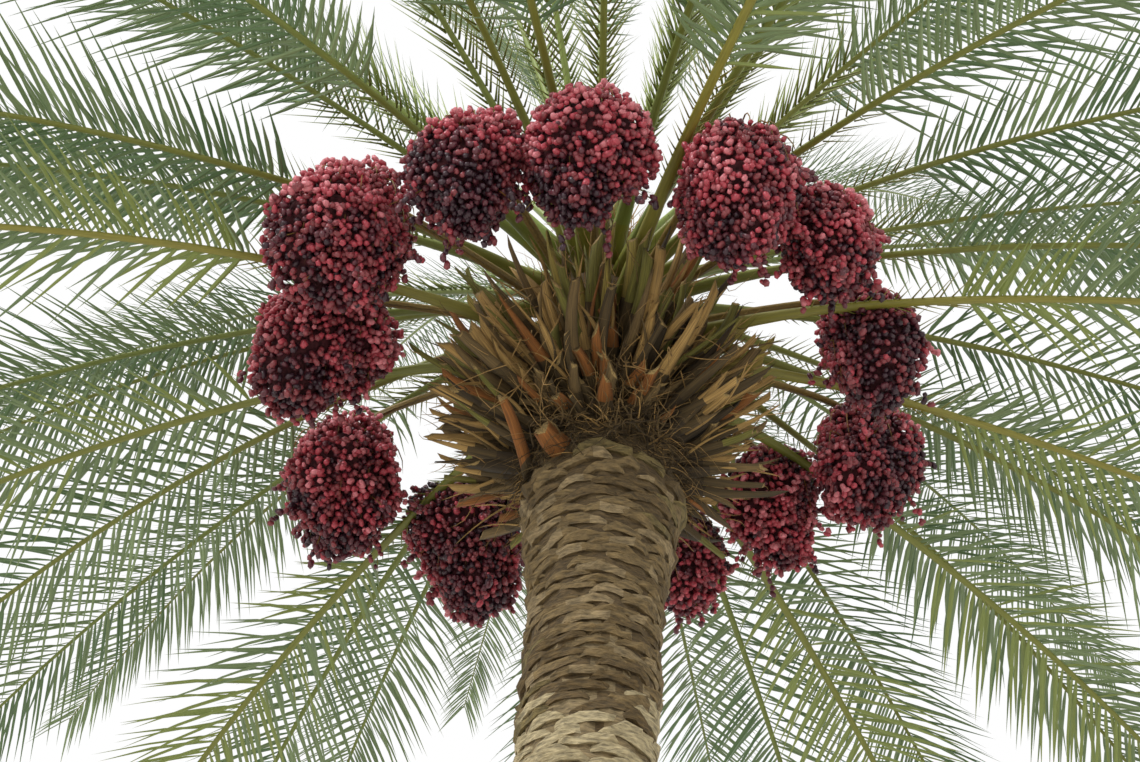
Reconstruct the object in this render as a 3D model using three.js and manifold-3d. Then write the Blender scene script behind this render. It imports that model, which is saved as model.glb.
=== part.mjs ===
// A fruiting date palm, in millimetres, +Z up, standing on the flat cut under its trunk at the origin.
// The trunk leans a little towards +X and ends in a head. Round the head, from below, come a rosette of
// cut leaf bases, low fronds that hang between the fruit bunches, the bunches on their arching stalks,
// the outer fronds, and at the top the young fronds, which are one piece with the heart of the palm.

import * as THREE from "three";
import { mergeVertices } from "three/addons/utils/BufferGeometryUtils.js";
import Module from "manifold-3d";

const wasm = await Module();
wasm.setup();

// Trunk and head
const TRUNK_RADIUS = 210;
const FLARE_RADIUS = 130; // how far the root flare stands out from the trunk at the ground
const FLARE_HEIGHT = 230;
const NECK_BELOW = 5300; // the trunk starts to swell here
const NECK_HEIGHT = 5860; // and is at its widest here, where the cut leaf bases begin
const NECK_RADIUS = 264;
const HEART_HEIGHT = 7100; // top of the trunk, where the inner fronds' heart stands on it
const HEART_RADIUS = 190;
const TIP_HEIGHT = 7560;
const TIP_RADIUS = 34;
const LEAN = 320; // how far the crown stands to +X of the foot
const LEAN_POWER = 1.1;
const TRUNK_SIDES = 20;

// Clearances: what meets face to face, and what only passes by
const SEAT_GAP = 0.4;
const PASSING_GAP = 2;

// Fronds
const GOLDEN_ANGLE = 137.508;
const PETIOLE_LENGTH = 1080; // the bare stalk below the first leaflets
const PETIOLE_STATIONS = [0, 0.18, 0.5, 1]; // shares of the petiole where its section is drawn
const FROND_SINK = 24; // a frond starts this deep in the head, and is cut off flush with it
const RIB_STEPS = 12; // steps in which the rib is followed from one station to the next
const BASE_WIDTH = 92;
const BASE_THICKNESS = 38;
const FOOT_REACH = 260; // the petiole's broad foot dies away over this length
const STALK_WIDTH = 46; // the petiole where the leaflets begin
const STALK_THICKNESS = 26;
const END_WIDTH = 9; // the rib at the frond's end
const END_THICKNESS = 8;
const LEAFLET_LENGTH = 500;
const FIRST_LEAFLETS = 0.55; // share of that length where the leaflets begin
const LAST_LEAFLETS = 0.5; // and where they end
const END_LEAFLET = 0.45; // and of the leaflet that ends the frond
const LEAFLET_RISE = 17; // degrees that the leaflets stand above the plane of the blade
const SWEEP_AT_FOOT = 62; // degrees between rib and leaflet
const SWEEP_AT_END = 26;
const KICK_REACH = 350; // the petiole's steep start dies away over this length
const OUTER_COUNT = 37;
const YOUNG_COUNT = 13;
const OUTER_START_AZIMUTH = 19;
const OUTER_HEIGHTS = [6815, 7050]; // where the first and last of them leave the head
const OUTER_ELEVATIONS = [-7, 33]; // degrees that the first and last set out above level
const YOUNG_HEIGHTS = [7135, 7460];
const YOUNG_ELEVATIONS = [34, 84];
const OLD_FROND = { length: 4150, sag: 50, kick: 23, size: 1 };
const NEWEST_FROND = { length: 3000, sag: 30, kick: 0, size: 0.62 };
const LOW_FROND = { length: 4050, sag: 46, kick: 24, size: 1 };
const LOW_LEAFLETS = 13; // a side
const OUTER_LEAFLETS = 12;
const YOUNG_LEAFLETS = 8;

// Fruit bunches: azimuth in degrees, reach from the trunk's axis, width, and height over width
const BUNCHES = [
  { azimuth: -93, reach: 980, width: 400, tallness: 1.25 },
  { azimuth: -61, reach: 960, width: 420, tallness: 1.4 },
  { azimuth: -38, reach: 990, width: 320, tallness: 1.4 },
  { azimuth: -8, reach: 990, width: 360, tallness: 1.35 },
  { azimuth: 23, reach: 1110, width: 380, tallness: 1.25 },
  { azimuth: 46, reach: 1010, width: 350, tallness: 1.45 },
  { azimuth: 72, reach: 1030, width: 340, tallness: 1.3 },
  { azimuth: 119, reach: 1040, width: 450, tallness: 1.3 },
  { azimuth: 150, reach: 1150, width: 460, tallness: 1.25 },
  { azimuth: 188, reach: 1030, width: 460, tallness: 1.05 },
  { azimuth: 217, reach: 1090, width: 450, tallness: 1.05 },
  { azimuth: 243, reach: 1010, width: 385, tallness: 1.2 },
];
const BUNCH_HEIGHT = 6500; // of a bunch's middle
const BUNCH_SIDES = 9;
const BUNCH_RINGS = 6;
const BUNCH_LUMPS = 0.07; // share of its size that a bunch's surface sinks at most
const BUNCH_SHOULDER = 0.1; // share that it is wider at its top than at its middle
const FRUIT_STALK_HEIGHT = 6725; // where the stalks leave the head
const FRUIT_STALK_WIDTH = 44;
const FRUIT_STALK_THICKNESS = 22;
const FRUIT_STALK_END = 0.7; // share of its width and thickness that a stalk ends with
const FRUIT_STALK_STEPS = 6;

// Low fronds: the gap between bunches that each hangs in, counted from the bunch before it, how far
// it stands off the gap's middle, where it leaves the head, and its elevation
const LOW_FRONDS = [
  { gap: 0, off: 3, height: 6590, elevation: -7 },
  { gap: 2, off: 3, height: 6570, elevation: -15 },
  { gap: 3, off: 2, height: 6590, elevation: -9 },
  { gap: 4, off: 0, height: 6590, elevation: -9 },
  { gap: 5, off: 0, height: 6560, elevation: -7 },
  { gap: 7, off: -1, height: 6550, elevation: -10 },
  { gap: 8, off: 2, height: 6590, elevation: -6 },
  { gap: 9, off: 0, height: 6570, elevation: -6 },
];

// Cut leaf bases
const STUB_COUNT = 98;
const STUB_LOWEST = 5985;
const STUB_HIGHEST = 6490;
const STUB_WIDTH = 108;
const STUB_THICKNESS = 44;
const STUB_END_WIDTH = 42;
const STUB_END_THICKNESS = 20;
const STUB_LENGTHS = [330, 420]; // of the lowest and of the highest
const STUB_ELEVATIONS = [10, 34];
const STUB_BENDS = [4, 14]; // degrees that a stub curls up each way from its middle
const STUB_SINK = 60;
const SHEATH_THICKNESS = 14; // the fibre sheath that the leaf bases stand on
const SHEATH_MARGIN = 30; // that it reaches below the lowest and above the highest of them

const BARK = material(0x8c7a5a, 0.95);
const CUT_BASES = material(0x86704a, 0.9);
const FRUIT = material(0x6e1a2c, 0.55);
const LOW_LEAF = material(0x7f8a4a, 0.7);
const LEAF = material(0x587046, 0.7);
const YOUNG_LEAF = material(0x6d8750, 0.7);

function material(color, roughness) {
  return new THREE.MeshStandardMaterial({ color, roughness, metalness: 0 });
}

// Small helpers

const radians = THREE.MathUtils.degToRad;
const mix = THREE.MathUtils.lerp;
const smooth = THREE.MathUtils.smoothstep;
const between = ([first, last], share) => mix(first, last, share);

// A number from -1 to 1 that looks random but is always the same for the same count and salt.
function wobble(count, salt) {
  const spread = Math.sin(count * 12.9898 + salt * 78.233) * 43758.5453;
  return (spread - Math.floor(spread)) * 2 - 1;
}

function leanAt(height) {
  return LEAN * THREE.MathUtils.clamp(height / NECK_HEIGHT, 0, 1) ** LEAN_POWER;
}

// A point given round the trunk's own axis.
function roundTrunk(azimuth, reach, height) {
  const turn = radians(azimuth);
  return new THREE.Vector3(leanAt(height) + reach * Math.cos(turn), reach * Math.sin(turn), height);
}

// The way that climbs at this elevation towards this azimuth.
function heading(azimuth, elevation) {
  const turn = radians(azimuth);
  const climb = radians(elevation);
  return new THREE.Vector3(
    Math.cos(climb) * Math.cos(turn),
    Math.cos(climb) * Math.sin(turn),
    Math.sin(climb),
  );
}

function geometryFrom(corners, faces) {
  const positions = new Float32Array(corners.flatMap((corner) => corner.toArray()));
  return new THREE.BufferGeometry()
    .setAttribute("position", new THREE.BufferAttribute(positions, 3))
    .setIndex(faces);
}

// Faces between two rings of equally many corners, on the sides that are asked for.
function sideFaces(lower, upper, sides, wanted = () => true) {
  const faces = [];
  for (let side = 0; side < sides; side++) {
    if (!wanted(side)) continue;
    const next = (side + 1) % sides;
    faces.push(lower + side, lower + next, upper + next);
    faces.push(lower + side, upper + next, upper + side);
  }
  return faces;
}

function capFaces(first, sides, facesAlong) {
  const faces = [];
  for (let side = 1; side < sides - 1; side++) {
    if (facesAlong) faces.push(first, first + side, first + side + 1);
    else faces.push(first, first + side + 1, first + side);
  }
  return faces;
}

// A closed skin over a row of rings, flat at both ends.
function skin(rings) {
  const sides = rings[0].length;
  const last = (rings.length - 1) * sides;
  const faces = [...capFaces(0, sides, false), ...capFaces(last, sides, true)];
  for (let ring = 1; ring < rings.length; ring++)
    faces.push(...sideFaces((ring - 1) * sides, ring * sides, sides));
  return geometryFrom(rings.flat(), faces);
}

function levelRing(centre, radius, sides) {
  return Array.from({ length: sides }, (_, side) => {
    const turn = (side / sides) * 2 * Math.PI;
    return new THREE.Vector3(
      centre.x + radius * Math.cos(turn),
      centre.y + radius * Math.sin(turn),
      centre.z,
    );
  });
}

// The four corners of a rib's section: left low, left high, right high, right low.
function ribSection(station, width, thickness) {
  const corner = (across, up) =>
    station.point
      .clone()
      .addScaledVector(station.left, (across * width) / 2)
      .addScaledVector(station.up, (up * thickness) / 2);
  return [corner(1, -1), corner(1, 1), corner(-1, 1), corner(-1, -1)];
}

// Left and up across a way, with the section rolled about it.
function frameOf(along, azimuth, roll = 0) {
  const level = heading(azimuth + 90, 0);
  const upright = new THREE.Vector3().crossVectors(along, level).normalize();
  const left = level.clone().applyAxisAngle(along, radians(roll));
  const up = upright.applyAxisAngle(along, radians(roll));
  return { left, up };
}

function solidOf(geometry) {
  const bare = geometry.clone();
  bare.deleteAttribute("normal");
  bare.deleteAttribute("uv");
  const merged = mergeVertices(bare, 1e-3);
  return new wasm.Manifold(
    new wasm.Mesh({
      numProp: 3,
      vertProperties: merged.attributes.position.array,
      triVerts: new Uint32Array(merged.index.array),
    }),
  );
}

function geometryOf(solid) {
  const { vertProperties, triVerts } = solid.getMesh();
  return new THREE.BufferGeometry()
    .setAttribute("position", new THREE.BufferAttribute(new Float32Array(vertProperties), 3))
    .setIndex(new THREE.BufferAttribute(new Uint32Array(triVerts), 1));
}

// The palm as it grows: each piece is added under its name, and later pieces keep clear of it.
const palm = new THREE.Group();
const placed = [];

function add(name, solid, finish) {
  const mesh = new THREE.Mesh(geometryOf(solid), finish);
  mesh.name = name;
  palm.add(mesh);
  placed.push({ name, solid, box: solid.boundingBox() });
}

function boxesMeet(a, b, gap) {
  return [0, 1, 2].every((i) => a.min[i] - gap < b.max[i] && b.min[i] - gap < a.max[i]);
}

function touched(solid, pieces, gap = PASSING_GAP) {
  const box = solid.boundingBox();
  return pieces.filter(
    (piece) => boxesMeet(box, piece.box, gap) && solid.minGap(piece.solid, gap) < gap * 0.99,
  );
}

// Trunk

function trunkRadius(height) {
  const flare = FLARE_RADIUS * Math.exp(-height / FLARE_HEIGHT);
  const swell = (NECK_RADIUS - TRUNK_RADIUS) * smooth(height, NECK_BELOW, NECK_HEIGHT);
  const taper = (NECK_RADIUS - HEART_RADIUS) * smooth(height, STUB_HIGHEST, HEART_HEIGHT);
  const close = (HEART_RADIUS - TIP_RADIUS) * smooth(height, HEART_HEIGHT, TIP_HEIGHT);
  return TRUNK_RADIUS + flare + swell - taper - close;
}

function stem(heights, extra) {
  return solidOf(
    skin(
      heights.map((height) =>
        levelRing(roundTrunk(0, 0, height), trunkRadius(height) + extra, TRUNK_SIDES),
      ),
    ),
  );
}

function trunkHeights(foot, top) {
  const bole = [0, 90, 220, 420, 900, 2400, 4000, 5300, 5500, 5700, NECK_HEIGHT];
  const head = [6200, STUB_HIGHEST, 6700, 6900, HEART_HEIGHT, 7220, 7340, 7450];
  return [foot, ...[...bole, ...head].filter((height) => height > foot && height < top), top];
}

// Fronds

function lowFrond({ gap, off, height, elevation }, k) {
  const before = BUNCHES[gap];
  const after = BUNCHES[(gap + 1) % BUNCHES.length];
  return {
    ...LOW_FROND,
    azimuth: (before.azimuth + after.azimuth) / 2 + off,
    height,
    elevation,
    sag: LOW_FROND.sag + 4 * wobble(k, 2),
    length: LOW_FROND.length + 120 * wobble(k, 3),
    roll: 10 * wobble(k, 4),
    swerve: 5 * wobble(k, 5),
    leaflets: LOW_LEAFLETS,
  };
}

// Frond number k of those above the bunches, each a golden angle on from the last and a little higher.
function upperFrond(k) {
  const age = k / (OUTER_COUNT + YOUNG_COUNT - 1);
  const young = k >= OUTER_COUNT;
  const share = young ? (k - OUTER_COUNT) / (YOUNG_COUNT - 1) : k / (OUTER_COUNT - 1);
  return {
    azimuth: OUTER_START_AZIMUTH + k * GOLDEN_ANGLE + 2 * wobble(k, 6),
    height: between(young ? YOUNG_HEIGHTS : OUTER_HEIGHTS, share),
    elevation: young ? between(YOUNG_ELEVATIONS, share) : between(OUTER_ELEVATIONS, share ** 2),
    sag: mix(OLD_FROND.sag, NEWEST_FROND.sag, age) + 3 * wobble(k, 8),
    kick: mix(OLD_FROND.kick, NEWEST_FROND.kick, age),
    length: mix(OLD_FROND.length, NEWEST_FROND.length, age ** 1.4) + 110 * wobble(k, 9),
    roll: 9 * wobble(k, 10),
    swerve: 5 * wobble(k, 11),
    leaflets: young ? YOUNG_LEAFLETS : OUTER_LEAFLETS,
    size: mix(OLD_FROND.size, NEWEST_FROND.size, age),
  };
}

// Stations along a frond's rib, from inside the head to the end: where each is, how it is turned, and
// how far along it lies. The petiole has few, and from there on one for each pair of leaflets.
function ribStations(frond) {
  const { azimuth, height, elevation, sag, kick, length, roll, swerve, leaflets } = frond;
  const point = roundTrunk(azimuth, trunkRadius(height) - FROND_SINK, height);
  const ends = PETIOLE_STATIONS.map((share) => share * PETIOLE_LENGTH);
  for (let leaflet = 1; leaflet <= leaflets; leaflet++)
    ends.push(mix(PETIOLE_LENGTH, length, leaflet / leaflets));
  const stations = [];
  let walked = -FROND_SINK;
  let along = heading(azimuth, elevation + kick);
  stations.push({ point: point.clone(), ...frameOf(along, azimuth), along, walked });
  for (const end of ends) {
    const step = (end - walked) / RIB_STEPS;
    let turn = azimuth;
    for (let i = 0; i < RIB_STEPS; i++) {
      const here = Math.max(walked + (i + 0.5) * step, 0);
      const share = here / length;
      const climb = elevation + kick * Math.exp(-here / KICK_REACH) - sag * share ** 1.5;
      turn = azimuth + swerve * share ** 2;
      along = heading(turn, climb);
      point.addScaledVector(along, step);
    }
    walked = end;
    const frame = frameOf(along, turn, (roll * end) / length);
    stations.push({ point: point.clone(), ...frame, along, walked });
  }
  return stations;
}

function ribSize(walked, frond) {
  const foot = Math.exp(-Math.max(walked, 0) / FOOT_REACH);
  const beyond = Math.max(walked - PETIOLE_LENGTH, 0) / (frond.length - PETIOLE_LENGTH);
  const width = mix(STALK_WIDTH, END_WIDTH, beyond) + (BASE_WIDTH - STALK_WIDTH) * foot;
  const thickness =
    mix(STALK_THICKNESS, END_THICKNESS, beyond) + (BASE_THICKNESS - STALK_THICKNESS) * foot;
  return [width * frond.size, thickness * frond.size];
}

// The tip of the leaflet that grows between two stations, on the left (1) or on the right (-1).
function leafletTip(before, after, frond, side) {
  const middle = before.point.clone().lerp(after.point, 0.5);
  const walked = (before.walked + after.walked) / 2;
  const beyond = (walked - PETIOLE_LENGTH) / (frond.length - PETIOLE_LENGTH);
  const length =
    LEAFLET_LENGTH *
    ((1 + frond.size) / 2) *
    mix(FIRST_LEAFLETS, 1, smooth(beyond, 0, 0.25)) *
    mix(1, LAST_LEAFLETS, smooth(beyond, 0.45, 1.1));
  const sweep = radians(mix(SWEEP_AT_FOOT, SWEEP_AT_END, beyond));
  const rise = radians(LEAFLET_RISE);
  return middle
    .addScaledVector(after.along, length * Math.cos(sweep))
    .addScaledVector(after.left, side * length * Math.sin(sweep) * Math.cos(rise))
    .addScaledVector(after.up, length * Math.sin(sweep) * Math.sin(rise));
}

// A frond as one closed skin: a rib of four sides whose left and right faces are drawn out into
// pointed leaflets that meet at the rib. A leaflet whose name is in skipped stays a plain face.
function frondGeometry(frond, skipped) {
  const stations = ribStations(frond);
  const sides = 4;
  const corners = stations.flatMap((station) => ribSection(station, ...ribSize(station.walked, frond)));
  const faces = capFaces(0, sides, false);
  const leaflets = [];
  for (let i = 1; i < stations.length; i++) {
    const lower = (i - 1) * sides;
    const upper = i * sides;
    const drawn = new Set();
    for (const side of i > PETIOLE_STATIONS.length ? [1, -1] : []) {
      const name = `${i}:${side}`;
      const edge = side > 0 ? 0 : 2;
      const foot = [lower + edge, lower + edge + 1, upper + edge + 1, upper + edge];
      const tip = leafletTip(stations[i - 1], stations[i], frond, side);
      leaflets.push({ name, foot: foot.map((corner) => corners[corner]), tip });
      if (skipped.has(name)) continue;
      drawn.add(edge);
      corners.push(tip);
      foot.forEach((corner, c) => faces.push(corner, foot[(c + 1) % 4], corners.length - 1));
    }
    faces.push(...sideFaces(lower, upper, sides, (side) => !drawn.has(side)));
  }
  const end = stations.at(-1);
  const first = (stations.length - 1) * sides;
  corners.push(end.point.clone().addScaledVector(end.along, LEAFLET_LENGTH * END_LEAFLET));
  for (let side = 0; side < sides; side++)
    faces.push(first + side, first + ((side + 1) % sides), corners.length - 1);
  return { geometry: geometryFrom(corners, faces), leaflets };
}

function leafletSolid({ foot, tip }) {
  const faces = [0, 2, 1, 0, 3, 2];
  foot.forEach((_, c) => faces.push(c, (c + 1) % 4, 4));
  return solidOf(geometryFrom([...foot, tip], faces));
}

// A frond's solid, cut flush with the head where it grows from the trunk. Leaflets that would touch
// anything placed so far are left off.
function growFrond(frond, cutter) {
  const trim = (skipped) => {
    const whole = solidOf(frondGeometry(frond, skipped).geometry);
    return cutter ? whole.subtract(cutter) : whole;
  };
  const full = trim(new Set());
  const neighbours = touched(full, placed.filter((piece) => piece.name !== "trunk"));
  if (!neighbours.length) return full;
  const touching = frondGeometry(frond, new Set()).leaflets.filter(
    (leaflet) => touched(leafletSolid(leaflet), neighbours).length,
  );
  return trim(new Set(touching.map((leaflet) => leaflet.name)));
}

// The heart stands on the trunk, and the young fronds rise from it.
function growHeart() {
  let whole = stem(trunkHeights(HEART_HEIGHT + SEAT_GAP, TIP_HEIGHT), 0);
  for (let k = OUTER_COUNT; k < OUTER_COUNT + YOUNG_COUNT; k++)
    whole = whole.add(growFrond(upperFrond(k), null));
  return whole;
}

// Fruit bunches

// An ovoid whose surface rises and sinks as the fruit on a bunch does.
function bunchBody(bunch, number) {
  const ball = new THREE.SphereGeometry(1, BUNCH_SIDES, BUNCH_RINGS).rotateX(Math.PI / 2);
  ball.deleteAttribute("normal");
  ball.deleteAttribute("uv");
  const lumpy = mergeVertices(ball, 1e-4);
  const places = lumpy.attributes.position;
  const middle = roundTrunk(bunch.azimuth, bunch.reach, BUNCH_HEIGHT);
  const half = bunch.width / 2;
  for (let i = 0; i < places.count; i++) {
    const way = new THREE.Vector3().fromBufferAttribute(places, i);
    const swell = 1 - (BUNCH_LUMPS / 2) * (1 - wobble(i, 20 + number));
    const shoulder = 1 + BUNCH_SHOULDER * way.z;
    places.setXYZ(
      i,
      middle.x + way.x * half * swell * shoulder,
      middle.y + way.y * half * swell * shoulder,
      middle.z + way.z * half * swell * bunch.tallness,
    );
  }
  return solidOf(lumpy);
}

// The stalk rises a little out of the head, arches over and goes down into the top of its bunch.
function fruitStalk(bunch) {
  const top = BUNCH_HEIGHT + (bunch.width / 2) * bunch.tallness;
  const crest = Math.max(top + 35, FRUIT_STALK_HEIGHT);
  const route = new THREE.CatmullRomCurve3([
    roundTrunk(bunch.azimuth, 160, FRUIT_STALK_HEIGHT - 40),
    roundTrunk(bunch.azimuth, 330, FRUIT_STALK_HEIGHT + 10),
    roundTrunk(bunch.azimuth, bunch.reach * 0.62, mix(FRUIT_STALK_HEIGHT, crest, 0.6) + 12),
    roundTrunk(bunch.azimuth, bunch.reach * 0.9, crest - 8),
    roundTrunk(bunch.azimuth, bunch.reach, top - 60),
  ]);
  const rings = [];
  for (let step = 0; step <= FRUIT_STALK_STEPS; step++) {
    const share = step / FRUIT_STALK_STEPS;
    const point = route.getPointAt(share);
    const frame = frameOf(route.getTangentAt(share), bunch.azimuth);
    const slim = mix(1, FRUIT_STALK_END, share);
    const [width, thickness] = [FRUIT_STALK_WIDTH * slim, FRUIT_STALK_THICKNESS * slim];
    rings.push(ribSection({ point, ...frame }, width, thickness));
  }
  return solidOf(skin(rings));
}

// Cut leaf bases

// Leaf base number k, counted upwards: flattened, curling up, narrow at its cut end.
function stubGeometry(k) {
  const age = k / (STUB_COUNT - 1);
  const azimuth = k * GOLDEN_ANGLE + 4 * wobble(k, 30);
  const height = mix(STUB_LOWEST, STUB_HIGHEST, age);
  const elevation = between(STUB_ELEVATIONS, age) + 5 * wobble(k, 31);
  const bend = between(STUB_BENDS, age);
  const brokenShort = wobble(k, 33) > 0.55;
  const length = (between(STUB_LENGTHS, age) + 45 * wobble(k, 32)) * (brokenShort ? 0.5 : 1);
  const along = heading(azimuth, elevation - bend);
  const outward = heading(azimuth, elevation + bend);
  const foot = roundTrunk(azimuth, trunkRadius(height), height).addScaledVector(along, -STUB_SINK);
  const middle = foot.clone().addScaledVector(along, STUB_SINK + length * 0.45);
  const tip = middle.clone().addScaledVector(outward, length * 0.55);
  const ring = (point, way, share) =>
    ribSection(
      { point, ...frameOf(way, azimuth) },
      mix(STUB_WIDTH, STUB_END_WIDTH, share),
      mix(STUB_THICKNESS, STUB_END_THICKNESS, share),
    );
  return skin([
    ring(foot, along, 0),
    ring(middle, heading(azimuth, elevation), 0.6),
    ring(tip, outward, 1),
  ]);
}

function growLeafBases(cutter) {
  const foot = STUB_LOWEST - SHEATH_MARGIN;
  const top = STUB_HIGHEST + SHEATH_MARGIN;
  let whole = stem(trunkHeights(foot, top), SHEATH_THICKNESS);
  const around = placed.filter((piece) => piece.name !== "trunk");
  for (let k = 0; k < STUB_COUNT; k++) {
    const stub = solidOf(stubGeometry(k));
    if (!touched(stub, around).length) whole = whole.add(stub);
  }
  return whole.subtract(cutter);
}

// Assembly, in the order in which each piece takes its space

const trunk = stem(trunkHeights(0, HEART_HEIGHT), 0);
const cutter = stem(trunkHeights(-50, HEART_HEIGHT + SEAT_GAP), SEAT_GAP);
add("trunk", trunk, BARK);

BUNCHES.forEach((bunch, i) => {
  const whole = bunchBody(bunch, i).add(fruitStalk(bunch)).subtract(cutter);
  add(`fruit_bunch_${String(i + 1).padStart(2, "0")}`, whole, FRUIT);
});

LOW_FRONDS.forEach((low, k) => add(`frond_low_${k + 1}`, growFrond(lowFrond(low, k), cutter), LOW_LEAF));

for (let k = 0; k < OUTER_COUNT; k++)
  add(`frond_outer_${String(k + 1).padStart(2, "0")}`, growFrond(upperFrond(k), cutter), LEAF);

add("young_fronds", growHeart(), YOUNG_LEAF);

add("cut_leaf_bases", growLeafBases(cutter), CUT_BASES);

export default palm;
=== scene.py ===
import math

import bmesh
import bpy
import numpy as np
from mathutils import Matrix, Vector


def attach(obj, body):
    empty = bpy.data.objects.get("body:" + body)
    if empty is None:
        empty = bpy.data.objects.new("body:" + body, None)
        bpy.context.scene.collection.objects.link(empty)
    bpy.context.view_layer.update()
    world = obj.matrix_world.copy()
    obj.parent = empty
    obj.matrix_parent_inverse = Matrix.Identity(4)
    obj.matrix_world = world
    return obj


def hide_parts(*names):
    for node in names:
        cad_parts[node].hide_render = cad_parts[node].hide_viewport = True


bl_info = {
    "name": "Date palm",
    "version": (1, 0, 0),
    "blender": (4, 5, 0),
    "location": "View3D > Sidebar > Palm",
    "description": "Grows a fruiting date palm over its packed solids",
    "category": "Object",
}

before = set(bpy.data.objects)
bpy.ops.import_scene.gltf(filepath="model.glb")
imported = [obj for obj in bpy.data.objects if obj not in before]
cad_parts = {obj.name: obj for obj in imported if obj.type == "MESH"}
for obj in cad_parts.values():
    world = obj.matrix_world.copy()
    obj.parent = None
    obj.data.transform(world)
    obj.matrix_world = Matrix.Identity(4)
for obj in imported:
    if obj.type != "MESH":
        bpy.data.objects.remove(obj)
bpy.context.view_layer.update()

# Sizes are in metres and angles in degrees. The trunk and head, as in the source
TRUNK_RADIUS = 0.21
FLARE_RADIUS = 0.13
FLARE_HEIGHT = 0.23
NECK_BELOW = 5.3
NECK_HEIGHT = 5.86
NECK_RADIUS = 0.264
HEART_HEIGHT = 7.1
HEART_RADIUS = 0.19
TIP_HEIGHT = 7.56
TIP_RADIUS = 0.034
LEAN = 0.32
LEAN_POWER = 1.1

# Fronds
GOLDEN_ANGLE = 137.508
PETIOLE_LENGTH = 1.08
FROND_SINK = 0.024
BASE_WIDTH = 0.092
BASE_THICKNESS = 0.038
FOOT_REACH = 0.26
STALK_WIDTH = 0.046
STALK_THICKNESS = 0.026
END_WIDTH = 0.009
END_THICKNESS = 0.008
LEAFLET_LENGTH = 0.5
FIRST_LEAFLETS = 0.55
LAST_LEAFLETS = 0.5
LEAFLET_RISE = 17
SWEEP_AT_FOOT = 62
SWEEP_AT_END = 26
KICK_REACH = 0.35
OUTER_COUNT = 37
YOUNG_COUNT = 13
OUTER_START_AZIMUTH = 19
OUTER_HEIGHTS = (6.815, 7.05)
OUTER_ELEVATIONS = (-7, 33)
YOUNG_HEIGHTS = (7.135, 7.46)
YOUNG_ELEVATIONS = (34, 84)
OLD_FROND = {"length": 4.15, "sag": 50, "kick": 23, "size": 1}
NEWEST_FROND = {"length": 3.0, "sag": 30, "kick": 0, "size": 0.62}
LOW_FROND = {"length": 4.05, "sag": 46, "kick": 24, "size": 1}

# Fruit bunches: azimuth, reach from the trunk's axis, width, and height over width
BUNCHES = (
    (-93, 0.98, 0.40, 1.25),
    (-61, 0.96, 0.42, 1.4),
    (-38, 0.99, 0.32, 1.4),
    (-8, 0.99, 0.36, 1.35),
    (23, 1.11, 0.38, 1.25),
    (46, 1.01, 0.35, 1.45),
    (72, 1.03, 0.34, 1.3),
    (119, 1.04, 0.45, 1.3),
    (150, 1.15, 0.46, 1.25),
    (188, 1.03, 0.46, 1.05),
    (217, 1.09, 0.45, 1.05),
    (243, 1.01, 0.385, 1.2),
)
BUNCH_NODES = [f"fruit_bunch_{number + 1:02d}" for number in range(len(BUNCHES))]
BUNCH_HEIGHT = 6.5
BUNCH_SHOULDER = 0.1
FRUIT_STALK_HEIGHT = 6.725
FRUIT_STALK_WIDTH = 0.044
FRUIT_STALK_THICKNESS = 0.022
FRUIT_STALK_END = 0.7

# Low fronds: gap between bunches, azimuth off its middle, height at the head, elevation
LOW_FRONDS = (
    (0, 3, 6.59, -7),
    (2, 3, 6.57, -15),
    (3, 2, 6.59, -9),
    (4, 0, 6.59, -9),
    (5, 0, 6.56, -7),
    (7, -1, 6.55, -10),
    (8, 2, 6.59, -6),
    (9, 0, 6.57, -6),
)

# Cut leaf bases, and the fibrous hollow low in their front
STUB_COUNT = 98
STUB_LOWEST = 5.985
STUB_HIGHEST = 6.49
STUB_THICKNESS = 0.044
STUB_LENGTHS = (0.33, 0.42)
STUB_ELEVATIONS = (10, 34)
STUB_BENDS = (4, 14)
STUB_SINK = 0.06
HOLLOW_HALF_TURN = 45
HOLLOW_TOP = 6.14

# Beyond the source's rule: how the finer pieces are cut up and coloured
CORE_SIDES = 48
SCAR_LIMIT = 1100
SCAR_COLUMNS = 11
SCAR_SECTION = np.array([0.0, 0.36, 0.76, 0.97, 1.0, 0.5])  # up a scar and back into the crack over it
SCAR_STAND = np.array([-0.6, 0.36, 0.9, 0.95, -0.3, -1.2])  # out from the bark at each of these
# Below the first height the bark is paler, partly painted light; above the second a pale scar keeps only
# its lip pale, as a painted highlight
BLEACHED_AND_LIT_BELOW = 4.95
LIPS_ONLY_ABOVE = 5.1
BLADE_RINGS = 9
THREAD_RINGS = 5
FRUIT_STALK_RINGS = 22
STRAND_RINGS = 7
STRAND_TIP_RINGS = 4
OUTER_SPLIT = 19  # the outer fronds are two pieces, so that neither has too many triangles
MOST_TRIANGLES = 200000
STALK_CLEARANCE = 0.055
STALK_LEAST_CLEARANCE = 0.04
STRANDS_A_BUNCH = 46
TUFTS_A_BUNCH = 16
DATES_A_TUFT = 8
INNER_SHARE = 0.6
# Painted light: dates that face this way, towards the sun, get the lighter shades
SUNNY_SIDE = (0, -0.74, 0.68)  # the dates that face this way are the brighter ones

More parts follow.
